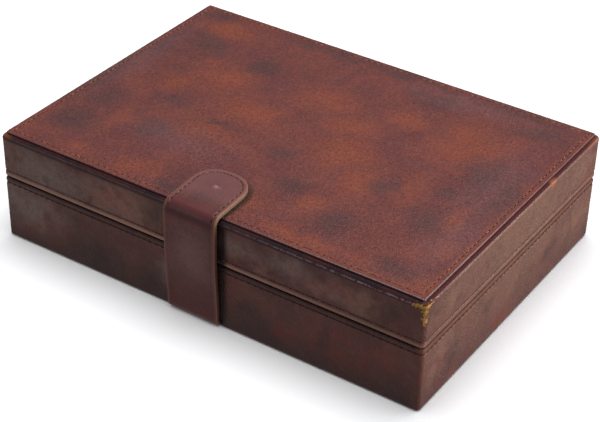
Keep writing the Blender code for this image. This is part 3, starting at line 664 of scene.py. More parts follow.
def ring(inset, z, corner_steps=8, long_steps=84, short_steps=60):
    """Points round the case at an inset and a height, with many along each side."""
    radius = max(CORNER_RADIUS - inset, LEAST_RADIUS)
    reach_x, reach_y = HALF_X - inset - radius, HALF_Y - inset - radius
    corners = []
    for index, (side_x, side_y) in enumerate(((1, 1), (-1, 1), (-1, -1), (1, -1))):
        turned = arc((side_x * reach_x, side_y * reach_y), radius, index, index + 1, corner_steps)
        corners.append([Vector((x, y, z)) for x, y in turned])
    points = []
    for index, corner in enumerate(corners):
        steps = long_steps if index % 2 == 0 else short_steps
        end = corners[(index + 1) % 4][0]
        points += corner + [corner[-1].lerp(end, number / steps) for number in range(1, steps)]
    return points


def tube(bm, lower, upper):
    """Faces between two loops of equally many vertices."""
    for index in range(len(lower)):
        after = (index + 1) % len(lower)
        bm.faces.new((lower[index], lower[after], upper[after], upper[index]))


def skin(bm, grid, material=0):
    """Faces between the neighbouring lines of a grid of vertices."""
    for left, right in zip(grid, grid[1:]):
        for index in range(len(left) - 1):
            corners = (left[index], right[index], right[index + 1], left[index + 1])
            bm.faces.new(corners).material_index = material


def border_of(grid):
    """The vertices round the outside of a grid, in order."""
    there = [line[0] for line in grid] + grid[-1][1:]
    return there + [line[-1] for line in reversed(grid[:-1])] + grid[0][-2:0:-1]


def loft(bm, rings, closed):
    """Joins rings of equally many points into a skin: closed on itself, or capped."""
    loops = [[bm.verts.new(point) for point in points] for points in rings]
    pairs = list(zip(loops, loops[1:]))
    if closed:
        pairs.append((loops[-1], loops[0]))
    else:
        bm.faces.new(reversed(loops[0]))
        bm.faces.new(loops[-1])
    for lower, upper in pairs:
        tube(bm, lower, upper)


def apply_modifiers(piece):
    """Keeps the shape that a piece's modifiers give it, and drops the modifiers."""
    bpy.context.view_layer.update()
    evaluated = piece.evaluated_get(bpy.context.evaluated_depsgraph_get())
    shape = bpy.data.meshes.new_from_object(evaluated)
    piece.modifiers.clear()
    piece.data = shape


def outward(point):
    """The level direction straight out of the nearest side."""
    past_x = abs(point.x) - (HALF_X - CORNER_RADIUS)
    past_y = abs(point.y) - (HALF_Y - CORNER_RADIUS)
    if past_x > 0 and past_y > 0:
        return Vector((math.copysign(past_x, point.x), math.copysign(past_y, point.y), 0)).normalized()
    if past_x > past_y:
        return Vector((math.copysign(1, point.x), 0, 0))
    return Vector((0, math.copysign(1, point.y), 0))


def leather_band(name, profile, slot, outer_only):
    """A closed (inset, z) profile carried round the case, gently uneven on its outer face."""
    bm = bmesh.new()
    loft(bm, [ring(inset, z) for inset, z in profile], closed=True)
    for vertex in bm.verts:
        if outer_only(vertex.co):
            place = Vector((vertex.co.x, vertex.co.y, vertex.co.z * 1.6)) / 0.032
            vertex.co += outward(vertex.co) * LEATHER_WAVE * (noise.noise(place) - 0.5)
    made = to_object(name, bm, [FINISHES[slot]])
    return made


# Stitching


def walk(points, closed):
    """The length along a line of points at each of them."""
    ends = points + [points[0]] if closed else points
    lengths = [0.0]
    for start, end in zip(ends, ends[1:]):
        lengths.append(lengths[-1] + (end - start).length)
    return ends, lengths


def bracket(lengths, distance):
    """The stretch of a line that a distance falls in: its two ends, and how far along it."""
    low = min(max(bisect.bisect_right(lengths, distance) - 1, 0), len(lengths) - 2)
    stretch = max(lengths[low + 1] - lengths[low], 1e-9)
    return low, low + 1, (distance - lengths[low]) / stretch


def along(points, lengths, distance):
    """The point at a distance along a line, and the direction there."""
    low, high, share = bracket(lengths, distance)
    return points[low].lerp(points[high], share), (points[high] - points[low]).normalized()


def add_stitch(bm, start, end, up, radius):
    """A short length of thread that rises out of one hole and dips into the next."""
    rings = []
    forward = (end - start).normalized()
    side = forward.cross(up).normalized()
    for index in range(7):
        share = index / 6
        swell = math.sin(math.pi * (0.08 + 0.84 * share)) ** 0.6
        middle = start.lerp(end, share) + up * radius * (1.5 * swell - 1.2)
        points = []
        for corner in range(6):
            angle = corner * math.pi / 3
            offset = side * math.cos(angle) + up * math.sin(angle)
            points.append(middle + offset * radius * (0.55 + 0.45 * swell))
        rings.append(points)
    loft(bm, rings, closed=False)


def add_hole(bm, middle, forward, up, radius):
    """The dark dimple that a needle leaves: a low lens, a little longer than wide."""
    side = forward.cross(up).normalized()
    rings = []
    for lift, size in ((-0.25, 0.5), (0.0, 1.0), (0.12, 0.55)):
        points = []
        for corner in range(8):
            angle = corner * math.pi / 4
            offset = side * math.cos(angle) + forward * 1.25 * math.sin(angle)
            points.append(middle + offset * radius * size + up * radius * lift)
        rings.append(points)
    before = len(bm.faces)
    loft(bm, rings, closed=False)
    bm.faces.ensure_lookup_table()
    for index in range(before, len(bm.faces)):
        bm.faces[index].material_index = 1


def stitch_row(name, points, up_at, material, closed=True, radius=STITCH_RADIUS):
    """A row of stitches along a line on a surface. up_at gives the way out of the surface."""
    ends, lengths = walk(points, closed)
    count = max(int(round(lengths[-1] / STITCH_PITCH)), 1)
    real_pitch = lengths[-1] / count
    bm = bmesh.new()
    for index in range(count):
        slack = 0.10 * noise.noise(Vector((index * 0.77, real_pitch * 500, 3.1)))
        first, _ = along(ends, lengths, (index + 0.20 + slack * 0.3) * real_pitch)
        last, _ = along(ends, lengths, (index + 0.80 + slack) * real_pitch)
        up = up_at((first + last) / 2)
        add_stitch(bm, first, last, up, radius)
        hole, forward = along(ends, lengths, index * real_pitch)
        add_hole(bm, hole - up * 0.08 * MM, forward, up, HOLE_RADIUS)
    made = to_object(name, bm, [material, HOLE_DARK], 60)
    return made


# Lid and base leather


def lid_side():
    """Leather round the lid: a turned bead at the rim, a sewn groove, and a rolled shoulder."""
    low, high = LID_LOW.z, LID_HIGH.z
    seam = low + LID_SEAM_FROM_RIM
    crease = high - SHOULDER_RADIUS - 0.2 * MM
    profile = [(BOARD_EDGE_LID, low), (3.2 * MM, low)]
    profile += arc((BEAD_RADIUS, low + BEAD_RADIUS), BEAD_RADIUS, 3, 2, 8)
    profile += from_height(low, (-0.05, 2.2), (0.02, 2.9), (0.16, 3.5))
    profile += from_height(seam, (0.34, -0.45), (0.50, 0), (0.34, 0.45), (0.12, 0.9), (0.02, 1.6), (0, 2.6))
    profile += [(0, z) for z in between(seam + 2.6 * MM, crease - 1.2 * MM, 7)[1:]]
    profile += from_height(crease, (0.02, -0.6), (0.06, -0.1))
    profile += arc((SHOULDER_RADIUS - 0.12 * MM, high - SHOULDER_RADIUS), SHOULDER_RADIUS, 1.97, 1, 20)
    profile += [(4.5 * MM, high - 0.25 * MM), (SHOULDER_FLANGE, high - 0.25 * MM)]
    profile += [(SHOULDER_FLANGE, high - LEATHER), (3.3 * MM, high - LEATHER)]
    profile += arc((3.0 * MM, high - 3.0 * MM), 1.8 * MM, 1.2, 2, 3)
    profile += [(LEATHER, low + LEATHER), (BOARD_EDGE_LID, low + LEATHER)]
    made = leather_band(
        "lid_leather_cover", profile, "side_leather", lambda p: is_outer(p) and low + 1.5 * MM < p.z < crease
    )
    left_corner = Vector((-HALF_X, -HALF_Y, high))
    rubbed = Vector((HALF_X, 0.4 * HALF_Y, high - 1.5 * MM))

    def near_right(p):
        return step(p.x, 0.0, 0.11) if p.y < -0.1 else 0.0

    def wine(p):
        return step(p.x, HALF_X - 5 * MM, HALF_X - 3 * MM) * step(p.y, -HALF_Y, -HALF_Y + 8 * MM)

    def limit(p):
        return high - (1.25 + 0.75 * near_right(p) - 0.30 * wine(p)) * MM

    def rim(p):
        bead = 1 - step(p.z, low + 2.2 * MM, low + 3.4 * MM)
        return bead * (1 - 0.8 * wine(p)) * (1 - 0.4 * near_right(p))

    # The shoulder's ridge, rubbed pale in specks and partly a painted highlight, strongest towards the front
    # right.
    def ridge(p):
        strength = (0.08 + 0.92 * near_right(p)) * (1 + 0.6 * step(p.x, 0.08, 0.14))
        return bell(p.z, limit(p) - 0.15 * MM, 0.8 * MM) * strength

    # Painted shade in the crease where the shoulder meets the face.
    def crease_shade(p):
        front = 1 - step(p.y, -HALF_Y + 1 * MM, -HALF_Y + 3 * MM)
        return bell(p.z, limit(p) - 0.9 * MM, (2.6 - 1.3 * near_right(p)) * MM) * front

    def flush(p):
        corner = bell((p - left_corner).length, 3 * MM, 7 * MM)
        side = bell(p.z, high - 1.6 * MM, 2.6 * MM) if p.x > HALF_X - 5 * MM else 0.0
        spot = 1.6 * bell((p - rubbed).length, 0.0, 5.0 * MM)
        return min(1.0, max(corner, spot, 0.7 * side * step(p.y, 0.085, 0.109)))

    paint_by_place(
        made,
        seam=lambda p: 0.6 * bell(p.z, seam, 1.0 * MM) if is_outer(p) else 0.0,
        # painted shade on the lid leather's underside, in the gap above the base
        dirt=lambda p: step(inset_of(p), 0.5 * MM, 1.3 * MM) * (p.z < low + 0.4 * MM),
        covered=strap_shade, wine=wine, rim=rim, ridge=ridge, crease=crease_shade, flush=flush,
    )
    made.data.materials.append(SHOULDER)
    places = [vertex.co for vertex in made.data.vertices]
    for face in made.data.polygons:
        corners = [places[index] for index in face.vertices]
        middle = sum((corner.z for corner in corners), 0.0) / len(corners)
        inside = min(inset_of(corner) for corner in corners)
        if middle > limit(corners[0]) and inside < SHOULDER_RADIUS + 1.5 * MM:
            face.material_index = 1
    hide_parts("lid_side_leather")
    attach(made, "lid")
    line = ring(THREAD_INSET, seam)
    stitches = stitch_row("lid_rim_stitching", line, outward, SIDE_THREAD)
    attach(stitches, "lid")


def strap_shade(point):
    """Darker under the strap, and a painted shadow in a line along its right edge."""
    if point.y > -HALF_Y + 2 * MM:
        return 0.0
    from_middle = point.x - STRAP_X
    under = 0.35 * (1 - step(abs(from_middle), STRAP_HALF - 2 * MM, STRAP_HALF))
    # painted shadow of the strap on the face to its right
    line = bell(from_middle, STRAP_HALF + 1.6 * MM, 4.2 * MM)
    return max(under, min(1.0, 1.9 * line))


def inset_of(point):
    """How far in a point is from the outer face of the side leather."""
    return -max(abs(point.x) - HALF_X, abs(point.y) - HALF_Y)


def is_outer(point):
    """True on the outer face of the side leather."""
    return inset_of(point) < 0.9 * MM


def base_side():
    """Leather round the base: a rounded foot, a sewn groove and a turned rim."""
    low, high = BASE_LOW.z, BASE_HIGH.z
    seam = high - BASE_SEAM_FROM_RIM
    foot_centre = (FOOT_RADIUS, low + FOOT_RADIUS)
    profile = [(4.0 * MM, low)]
    profile += arc(foot_centre, FOOT_RADIUS, 3, 2, 8)
    profile += [(0, z) for z in between(low + FOOT_RADIUS, seam - 2.6 * MM, 9)[1:]]
    profile += from_height(seam, (0.02, -1.6), (0.14, -0.9), (0.34, -0.45), (0.50, 0))
    profile += from_height(seam, (0.34, 0.45), (0.10, 0.9), (0.02, 1.4))
    profile += arc((RIM_RADIUS, high - RIM_RADIUS), RIM_RADIUS, 2, 1, 8)
    profile += [(3.4 * MM, high), (BOARD_EDGE_BASE, high), (BOARD_EDGE_BASE, high - LEATHER)]
    profile += [(LEATHER, high - LEATHER), (LEATHER, low + FOOT_RADIUS)]
    profile += arc(foot_centre, FOOT_RADIUS - LEATHER, 2, 3, 3)[1:]
    profile += [(4.0 * MM, low + LEATHER)]

    def is_wavy(p):
        return is_outer(p) and low + 2 * MM < p.z < high - 2 * MM

    made = leather_band("base_leather_cover", profile, "side_leather", is_wavy)
    cut_tail_slot(made)

    def on_right(p):
        return step(p.x, HALF_X - 6 * MM, HALF_X - 2 * MM)

    def above_seam(p):
        return step(p.z, seam, seam + 0.9 * MM)

    # Painted shade: darker towards the floor, less so on the right.
    def foot(p):
        reach = (30 - 12 * step(-p.x, 0.095, 0.13)) * MM
        return (1 - step(p.z, low, low + reach)) * (1 - 0.6 * on_right(p))

    # Painted shade on the base's rim, in the gap under the lid, weaker on the right.
    def dirt(p):
        turned = step(inset_of(p), 0.5 * MM, 1.2 * MM) * (p.z > high - 0.5 * MM)
        return max(turned, (0.75 - 0.6 * on_right(p)) * step(p.z, high - 1.3 * MM, high - 0.5 * MM))

    paint_by_place(
        made,
        seam=lambda p: bell(p.z, seam, 0.9 * MM) if is_outer(p) else 0.0,
        # warmer band above the seam on the right: painted light from the right side
        flush=lambda p: 0.30 * on_right(p) * above_seam(p),
        band=lambda p: above_seam(p) * (0.6 + 0.4 * on_right(p)),
        covered=strap_shade, foot=foot, dirt=dirt,
    )
    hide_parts("base_side_leather")
    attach(made, "base")
    line = ring(THREAD_INSET, seam)
    stitches = stitch_row(
        "base_rim_stitching", line, outward, BASE_THREAD, radius=1.35 * STITCH_RADIUS
    )
    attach(stitches, "base")


def cut_tail_slot(piece):
    """Cuts the slot in the foot of the leather through which the strap goes under the base."""
    half = STRAP_HALF + 0.6 * MM
    xs = (STRAP_X - half, STRAP_X + half)
    ys = (-HALF_Y - 3 * MM, -HALF_Y + 8 * MM)
    bm = bmesh.new()
    corners = ((xs[0], ys[0]), (xs[1], ys[0]), (xs[1], ys[1]), (xs[0], ys[1]))
    loft(bm, [[(x, y, z) for x, y in corners] for z in (-2 * MM, FOLD.z - 1.35 * MM)], closed=False)
    guide = to_object("tail_slot_guide", bm, [])
    boolean = piece.modifiers.new("tail_slot", "BOOLEAN")
    boolean.object = guide
    boolean.solver = "EXACT"
    apply_modifiers(piece)
    bpy.data.objects.remove(guide)


# Top panel


def spread(reach, fine, middle_step):
    """Places from -reach to reach: close together near both ends, evenly spread between."""
    inner = reach - fine[-1]
    steps = max(int(round(2 * inner / middle_step)), 2)
    places = [-reach + distance for distance in fine] + between(-inner, inner, steps)[1:-1]
    return places + [reach - distance for distance in reversed(fine)]


def top_panel():
    """The top's leather panel: a rolled edge, a sewn groove inside it, and a faintly uneven field."""
    reach_x, reach_y = PANEL_HIGH.x, PANEL_HIGH.y
    top, bottom = PANEL_HIGH.z, PANEL_LOW.z
    fine = (0, 0.1, 0.25, 0.5, 1.0, 1.8, 2.6, 3.0, 3.35, 3.7, 4.05, 4.4, 5.0, 6.0, 8.0)
    xs, ys = [spread(reach, [distance * MM for distance in fine], 3.6 * MM) for reach in (reach_x, reach_y)]
    near = Vector((reach_x, -reach_y, top))

    def inset_at(x, y):
        return min(reach_x - abs(x), reach_y - abs(y))

    def height(x, y):
        inset = inset_at(x, y)
        z = top - 0.4 * MM * (1 - step(inset, 0.0, 0.45 * MM))
        z -= 0.32 * MM * bell(inset, PANEL_SEAM_INSET, 0.75 * MM)
        uneven = noise.noise(Vector((x, y, 0)) / 0.045) * 0.5 + noise.noise(Vector((x, y, 9)) / 0.016) * 0.18
        return z + (uneven - 0.35) * 0.14 * MM * step(inset, 4 * MM, 14 * MM)

    def tint(p):
        warmth = 0.35 + 0.65 * bell((p - near).length, 0.0, 0.11)
        return bell(inset_at(p.x, p.y), PANEL_SEAM_INSET, 2.4 * MM) * warmth

    # Painted highlight along the panel's rounded edge, strongest towards the front right.
    def edge(p):
        nearness = step(p.x, 0.0, 0.12) * (1 - 0.75 * step(p.y, -0.08, 0.04))
        return bell(inset_at(p.x, p.y), 0.3 * MM, 0.3 * MM) * (0.15 + 0.85 * nearness)

    bm = bmesh.new()
    columns = [
        [bm.verts.new((*round_corner(x, y, reach_x, reach_y), height(x, y))) for y in ys]
        for x in xs
    ]
    skin(bm, columns)
    border = border_of(columns)
    lower = [bm.verts.new((vertex.co.x, vertex.co.y, bottom)) for vertex in border]
    tube(bm, border, lower)
    bm.faces.new(lower)
    made = to_object("lid_top_leather", bm, [FINISHES["top_leather"]], 50)
    paint_by_place(
        made,
        seam=lambda p: bell(inset_at(p.x, p.y), PANEL_SEAM_INSET, 0.7 * MM),
        wall=lambda p: 1 - step(inset_at(p.x, p.y), 0.02 * MM, 0.2 * MM),
        tint=tint, edge=edge,
    )
    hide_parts("lid_top_panel")
    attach(made, "lid")
    line = rectangle_line(reach_x - PANEL_SEAM_INSET, reach_y - PANEL_SEAM_INSET, top - 0.18 * MM)
    stitches = stitch_row("lid_top_stitching", line, lambda p: Vector((0, 0, 1)), TOP_THREAD)
    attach(stitches, "lid")


def round_corner(x, y, reach_x, reach_y):
    """Moves the points of a square corner on to a round one."""
    radius = PANEL_CORNER_RADIUS
    from_x, from_y = radius - reach_x + abs(x), radius - reach_y + abs(y)
    if from_x <= 0 or from_y <= 0:
        return x, y
    share = max(from_x, from_y) / math.hypot(from_x, from_y)
    return (
        math.copysign(reach_x - radius + from_x * share, x),
        math.copysign(reach_y - radius + from_y * share, y),
    )


def rectangle_line(reach_x, reach_y, z):
    """Points round a rectangle, evenly spaced along each side."""
    corners = [Vector((sx * reach_x, sy * reach_y, z)) for sx, sy in ((1, 1), (-1, 1), (-1, -1), (1, -1))]
    points = []
    for start, end in zip(corners, corners[1:] + corners[:1]):
        count = int((end - start).length / LINE_STEP)
        points += [start.lerp(end, index / count) for index in range(count)]
    return points


# Strap


def strap_middle():
    """The strap's middle line as (y, z) points, from its end under the base to the tip's end."""
    tail_z = TAIL_LOW.z + STRAP_THICK / 2
    tail_y = FOLD.y + TAIL_RADIUS
    front_y = FOLD.y - STRAP_BULGE
    top_fold = 50.0 * MM
    bend_y, bend_z = front_y + BEND_RADIUS, TIP_FOLD.z - BEND_RADIUS
    points = [(y, tail_z) for y in between(TAIL_HIGH.y, tail_y, 8)[:-1]]
    points += arc((tail_y, tail_z + TAIL_RADIUS), TAIL_RADIUS, 3, 2, 10)
    for share in between(0, 1, 18)[1:]:
        y = FOLD.y - STRAP_BULGE * share * share * (3 - 2 * share)
        points.append((y, FOLD.z + (top_fold - FOLD.z) * share))
    points += [(front_y, z) for z in between(top_fold, bend_z, 8)[1:]]
    points += arc((bend_y, bend_z), BEND_RADIUS, 2, 1, 12)[1:]
    return points + [(y, TIP_FOLD.z) for y in between(bend_y, TIP_HIGH.y, 24)[1:]]


class StrapLine:
    """The middle line measured along its length, to wrap a flat pattern round."""

    def __init__(self):
        points = [Vector((0, y, z)) for y, z in strap_middle()]
        self.points, self.lengths = walk(points, closed=False)
        self.total = self.lengths[-1]
        self.outs = []
        for before, after in zip(points[:1] + points, points[1:] + points[-1:]):
            direction = (after - before).normalized()
            self.outs.append(Vector((0, -direction.z, direction.y)))

    def at(self, distance):
        """The point at this length along the line, and the outward direction there."""
        low, high, share = bracket(self.lengths, min(max(distance, 0.0), self.total))
        point = self.points[low].lerp(self.points[high], share)
        return point, self.outs[low].lerp(self.outs[high], share).normalized()

    def place(self, x, s, lift):
        """Where a point of the flat pattern goes, lifted off the middle line."""
        point, out = self.at(s)
        return Vector((STRAP_X + x - lean(s), point.y + out.y * lift, point.z + out.z * lift))

    def length_at(self, test):
        """The length along the line at the first point that passes a test."""
        return next(length for point, length in zip(self.points, self.lengths) if test(point))


LINE = StrapLine()
TIP_STARTS = LINE.total - TIP_ROUND
BEND_MIDDLE = LINE.length_at(lambda p: p.z > TIP_FOLD.z - BEND_RADIUS * 0.3)
SPLIT = LINE.length_at(lambda p: p.z > 38 * MM)
FOLD_TOP = LINE.length_at(lambda p: p.z > FOLD.z)
MARK_AT = LINE.total - 17.5 * MM
SEWN_FROM = BEND_MIDDLE - 1.0 * MM


def lean(distance):
    """How far the strap has wandered to the left at a length along it."""
    share = max(distance - BEND_MIDDLE, 0.0) / (LINE.total - BEND_MIDDLE)
    return TIP_LEAN * share ** 1.4


def strap_rows(start, end):
    """Stations of the flat pattern as (x, s) on its right edge, each with its inward normal."""
    straight_end = min(end, TIP_STARTS)
    count = int((straight_end - start) / (1.6 * MM))
    rows = [(STRAP_HALF, s, (-1.0, 0.0)) for s in between(start, straight_end, count)]
    steps = 22 if end > TIP_STARTS else 0
    for index in range(1, steps + 1):
        angle = math.pi / 2 * index / steps
        power = 2 / TIP_POWER
        x = STRAP_HALF * max(math.cos(angle), 0.0) ** power
        s = TIP_STARTS + TIP_ROUND * math.sin(angle) ** power
        nx = (x / STRAP_HALF) ** (TIP_POWER - 1) / STRAP_HALF if x > 1e-6 else 0.0
        ns = ((s - TIP_STARTS) / TIP_ROUND) ** (TIP_POWER - 1) / TIP_ROUND
        size = math.hypot(nx, ns)
        rows.append((x if index < steps else 0.0, s, (-nx / size, -ns / size)))
    return rows


MARGINS = [distance * MM for distance in (0.0, 0.12, 0.4, 0.9, 1.6, 2.2, 2.55, 2.9, 3.25, 3.7, 4.4)]
MIDDLE_COLUMNS = 12
FLAT_KEYS = ("flat_x", "flat_s", "inset", "layer")


def strap_surface(bm, rows, side, store):
    """One face of the strap as rows of vertices, right edge to left. side is 1 outside and -1 inside."""
    grid = []
    for x, s, (nx, ns) in rows:
        half = [(max(x + nx * inset, 0.0), s + ns * inset, inset) for inset in MARGINS]
        inner_x, inner_s, last = half[-1]
        middle = []
        for share in between(1, -1, MIDDLE_COLUMNS)[1:-1]:
            middle.append((inner_x * share, inner_s, last + inner_x * (1 - abs(share))))
        left = [(-px, ps, inset) for px, ps, inset in reversed(half)]
        line = []
        for px, ps, inset in half + middle + left:
            lift = side * STRAP_THICK / 2 + surface_relief(px, ps, inset, side)
            vertex = bm.verts.new(LINE.place(px, ps, lift))
            for key, value in zip(store, (px, ps, inset, side * STRAP_THICK / 2 / MM)):
                vertex[key] = value
            line.append(vertex)
        grid.append(line)
    return grid


def surface_relief(x, s, inset, side):
    """How far the strap's face stands off its level: rounded edge, sewn groove and slight waves."""
    if side < 0:
        return 0.18 * MM * (1 - step(inset, 0.0, 0.4 * MM))
    drop = -0.42 * MM * (1 - step(inset, -0.15 * MM, 0.55 * MM))
    sewn = -0.30 * MM * bell(inset, STITCH_INSET, 0.7 * MM) * sewn_share(s)
    waves = 0.10 * MM * (noise.noise(Vector((x, s, 5)) / 0.017) - 0.5) * step(inset, 3 * MM, 7 * MM)
    return drop + sewn + waves


def sewn_share(s):
    """The tip is sewn. On the upright the same line is only creased into the leather."""
    return 0.22 + 0.78 * step(s, SEWN_FROM - 3 * MM, SEWN_FROM)


def strap_piece(name, start, end):
    """A length of strap: outer leather, suede back and cut edges, closed at both ends."""
    bm = bmesh.new()
    for key in FLAT_KEYS:
        bm.verts.layers.float.new(key)
    store = [bm.verts.layers.float[key] for key in FLAT_KEYS]
    flat_x, flat_s, _, layer = store
    rows = strap_rows(start, end)
    outside, inside = [strap_surface(bm, rows, side, store) for side in (1, -1)]
    for material, grid in enumerate((outside, inside)):
        skin(bm, list(zip(*grid)), material)
    for column in (0, -1):
        skin(bm, [[row[column] for row in inside], [row[column] for row in outside]], 2)
    for row in (0, -1) if end < TIP_STARTS else (0,):
        skin(bm, [inside[row], outside[row]], 2)
    bmesh.ops.remove_doubles(bm, verts=bm.verts[:], dist=0.00001)
    bmesh.ops.dissolve_degenerate(bm, edges=bm.edges[:], dist=0.000001)
    uv = bm.loops.layers.uv.new("UVMap")
    for face in bm.faces:
        shift = 0.1 if face.material_index == 1 else 0.0
        for loop in face.loops:
            across = loop.vert[flat_x] + shift
            if face.material_index == 2:
                across = 0.2 + loop.vert[layer] * MM
            loop[uv].uv = (across, loop.vert[flat_s])
    made = to_object(name, bm, [FINISHES["strap_leather"], FINISHES["strap_backing"], CUT_EDGE], 55)
    paint_strap(made)
    return made


def paint_strap(piece):
    """Where the strap is sewn, pale at its margin, polished at its bend, or creased, and where sheen, highlight
    and shade are painted on it.
    """
    columns = [[item.value for item in piece.data.attributes[key].data] for key in FLAT_KEYS[:3]]

    # A paler margin outside the stitches, with a painted highlight on the rounded outer edge.
    def margin(x, s, inset):
        share = 0.26 + 0.12 * step(s, SEWN_FROM, SEWN_FROM + 8 * MM)
        share *= 1 - step(inset, 1.4 * MM, 2.6 * MM)
        return max(share, 1 - step(inset, 0.4 * MM, 1.1 * MM))

    rules = {
        "seam": lambda x, s, inset: bell(inset, STITCH_INSET, 0.6 * MM) * sewn_share(s),
        "margin": margin,
        "high": lambda x, s, inset: step(s, BEND_MIDDLE - 16 * MM, BEND_MIDDLE),
        "low": lambda x, s, inset: 1 - step(s, FOLD_TOP, FOLD_TOP + 34 * MM),
        # painted sheen in the middle of the upright
        "pale": lambda x, s, inset: bell(x, 1 * MM, 24 * MM) * bell(s, FOLD_TOP + 38 * MM, 32 * MM),
        "bend": lambda x, s, inset: bell(s, BEND_MIDDLE + 0.5 * MM, 11 * MM),
        "shade": lambda x, s, inset: bell(s, BEND_MIDDLE - 2.6 * MM, 5.2 * MM),
        # the tip's lighter tone, partly painted sheen
        "tip": lambda x, s, inset: step(s, BEND_MIDDLE + 8 * MM, BEND_MIDDLE + 20 * MM),
        "mark": lambda x, s, inset: crease_mark(x, s - MARK_AT),
    }
    for name, rule in rules.items():
        paint(piece, name, [rule(*facts) for facts in zip(*columns)])


def crease_mark(across, along_strap):
    """A small star-shaped crease over the magnet."""
    distance = math.hypot(across, along_strap)
    angle = math.atan2(along_strap, across)
    reach = 0.8 * MM + 2.6 * MM * abs(math.cos(2.5 * angle + 0.6)) ** 4
    return 0.8 * (1 - step(distance, 0.2 * reach, reach))


def strap():
    lower = strap_piece("strap_lower", 0.0, SPLIT)
    upper = strap_piece("strap_upper", SPLIT, LINE.total)
    right = []
    for x, s, (nx, ns) in strap_rows(SEWN_FROM, LINE.total):
        right.append((x + nx * STITCH_INSET, s + ns * STITCH_INSET))
    flat_line = right + [(-px, ps) for px, ps in reversed(right[:-1])]
    points = [LINE.place(px, ps, STRAP_THICK / 2 - 0.14 * MM) for px, ps in flat_line]

    def up_at(place):
        level = Vector((0, place.y, place.z))
        best = min(range(len(LINE.points)), key=lambda index: (LINE.points[index] - level).length)
        return LINE.outs[best]

    thread_line = stitch_row("strap_stitching", points, up_at, STRAP_THREAD, closed=False)
    fold_low = Vector((STRAP_X, FOLD.y, FOLD.z - 2.2 * MM))
    fold_high = Vector((STRAP_X, FOLD.y, FOLD.z + 2.2 * MM))
    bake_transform(lower, "base", "strap", start=fold_low, end=fold_high)
    tip_near = Vector((STRAP_X, TIP_FOLD.y - 2.5 * MM, TIP_FOLD.z))
    tip_far = Vector((STRAP_X, TIP_FOLD.y + 2.5 * MM, TIP_FOLD.z))
    for piece in (upper, thread_line):
        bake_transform(piece, "strap", "strap_tip", start=tip_near, end=tip_far)
    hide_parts("strap_tail", "strap_riser_outer")
    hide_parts("strap_tip_outer", "strap_riser_lining", "strap_tip_lining")


# Linings and padding

PAD_COLUMNS = 84
PAD_ROWS = 56
DIAMOND_STEPS = 7
PAD_SEWN_THICKNESS = 0.7 * MM
PAD_GAP = 0.15 * MM
PAD_PRESSURE = 14.0
CLOTH_FRAMES = 20


def pad_place(low, high, column, row):
    x = low.x + PAD_GAP + (high.x - low.x - 2 * PAD_GAP) * column / PAD_COLUMNS
    y = low.y + PAD_GAP + (high.y - low.y - 2 * PAD_GAP) * row / PAD_ROWS
    return x, y


def is_sewn(column, row):
    """True along the pad's border and along the seams that cross it as diamonds."""
    border = column in (0, PAD_COLUMNS) or row in (0, PAD_ROWS)
    return border or (column + row) % DIAMOND_STEPS == 0 or (column - row) % DIAMOND_STEPS == 0


def pad_mesh(low, high):
    """The pad before it is filled: a face glued to the board, and a face sewn down to it."""
    bm = bmesh.new()
    weights = bm.verts.layers.deform.verify()
    grids = []
    for z, glued in ((high.z - PAD_GAP, True), (high.z - PAD_GAP - PAD_SEWN_THICKNESS, False)):
        grid = []
        for column in range(PAD_COLUMNS + 1):
            line = []
            for row in range(PAD_ROWS + 1):
                vertex = bm.verts.new((*pad_place(low, high, column, row), z))
                vertex[weights][0] = 1.0 if glued or is_sewn(column, row) else 0.0
                line.append(vertex)
            grid.append(line)
        grids.append(grid)
    close_grids(bm, grids)
    return bm


def close_grids(bm, grids):
    """Skins an upper and a lower grid and joins their borders."""
    for grid in grids:
        skin(bm, grid)
    tube(bm, *(border_of(grid) for grid in grids))


def fill_with_cloth(piece, pinned, pressure):
    """Swells a closed mesh as cloth under pressure, then keeps the shape it has taken."""
    scene = bpy.context.scene
    piece.vertex_groups.new(name=pinned)
    cloth = piece.modifiers.new("filling", "CLOTH")
    settings = cloth.settings
    values = {
        "quality": 6, "mass": 0.2, "tension_stiffness": 8, "compression_stiffness": 8,
        "bending_stiffness": 0.3, "use_pressure": True, "uniform_pressure_force": pressure,
        "vertex_group_mass": pinned,
    }
    for key, value in values.items():
        setattr(settings, key, value)
    settings.effector_weights.gravity = 0
    cloth.point_cache.frame_start = 1
    cloth.point_cache.frame_end = CLOTH_FRAMES
    for number in range(1, CLOTH_FRAMES + 1):
        scene.frame_set(number)
    evaluated = piece.evaluated_get(bpy.context.evaluated_depsgraph_get())
    filled = [vertex.co.copy() for vertex in evaluated.data.vertices]
    piece.modifiers.clear()
    piece.vertex_groups.clear()
    scene.frame_set(1)
    return filled


def ceiling_pad():
    """The satin padding in the lid, sewn down in diamonds and swollen between its seams."""
    low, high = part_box("lid_ceiling_pad")
    made = to_object("lid_padding", pad_mesh(low, high), [FINISHES["lid_satin"]], 180)
    flat = [vertex.co.copy() for vertex in made.data.vertices]
    filled = fill_with_cloth(made, "pinned", PAD_PRESSURE)
    room = high.z - PAD_GAP - PAD_SEWN_THICKNESS - low.z - PAD_GAP
    deepest = max(max(before.z - after.z for before, after in zip(flat, filled)), 1e-9)
    for vertex, before, after in zip(made.data.vertices, flat, filled):
        fall = (before.z - after.z) * room / deepest
        vertex.co = (after.x, after.y, before.z - max(fall, 0.0))
    made.modifiers.new("smooth", "SUBSURF").levels = 1
    apply_modifiers(made)
    paint_by_place(made, seam=lambda p: pad_seam(p, low, high))
    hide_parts("lid_ceiling_pad")
    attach(made, "lid")


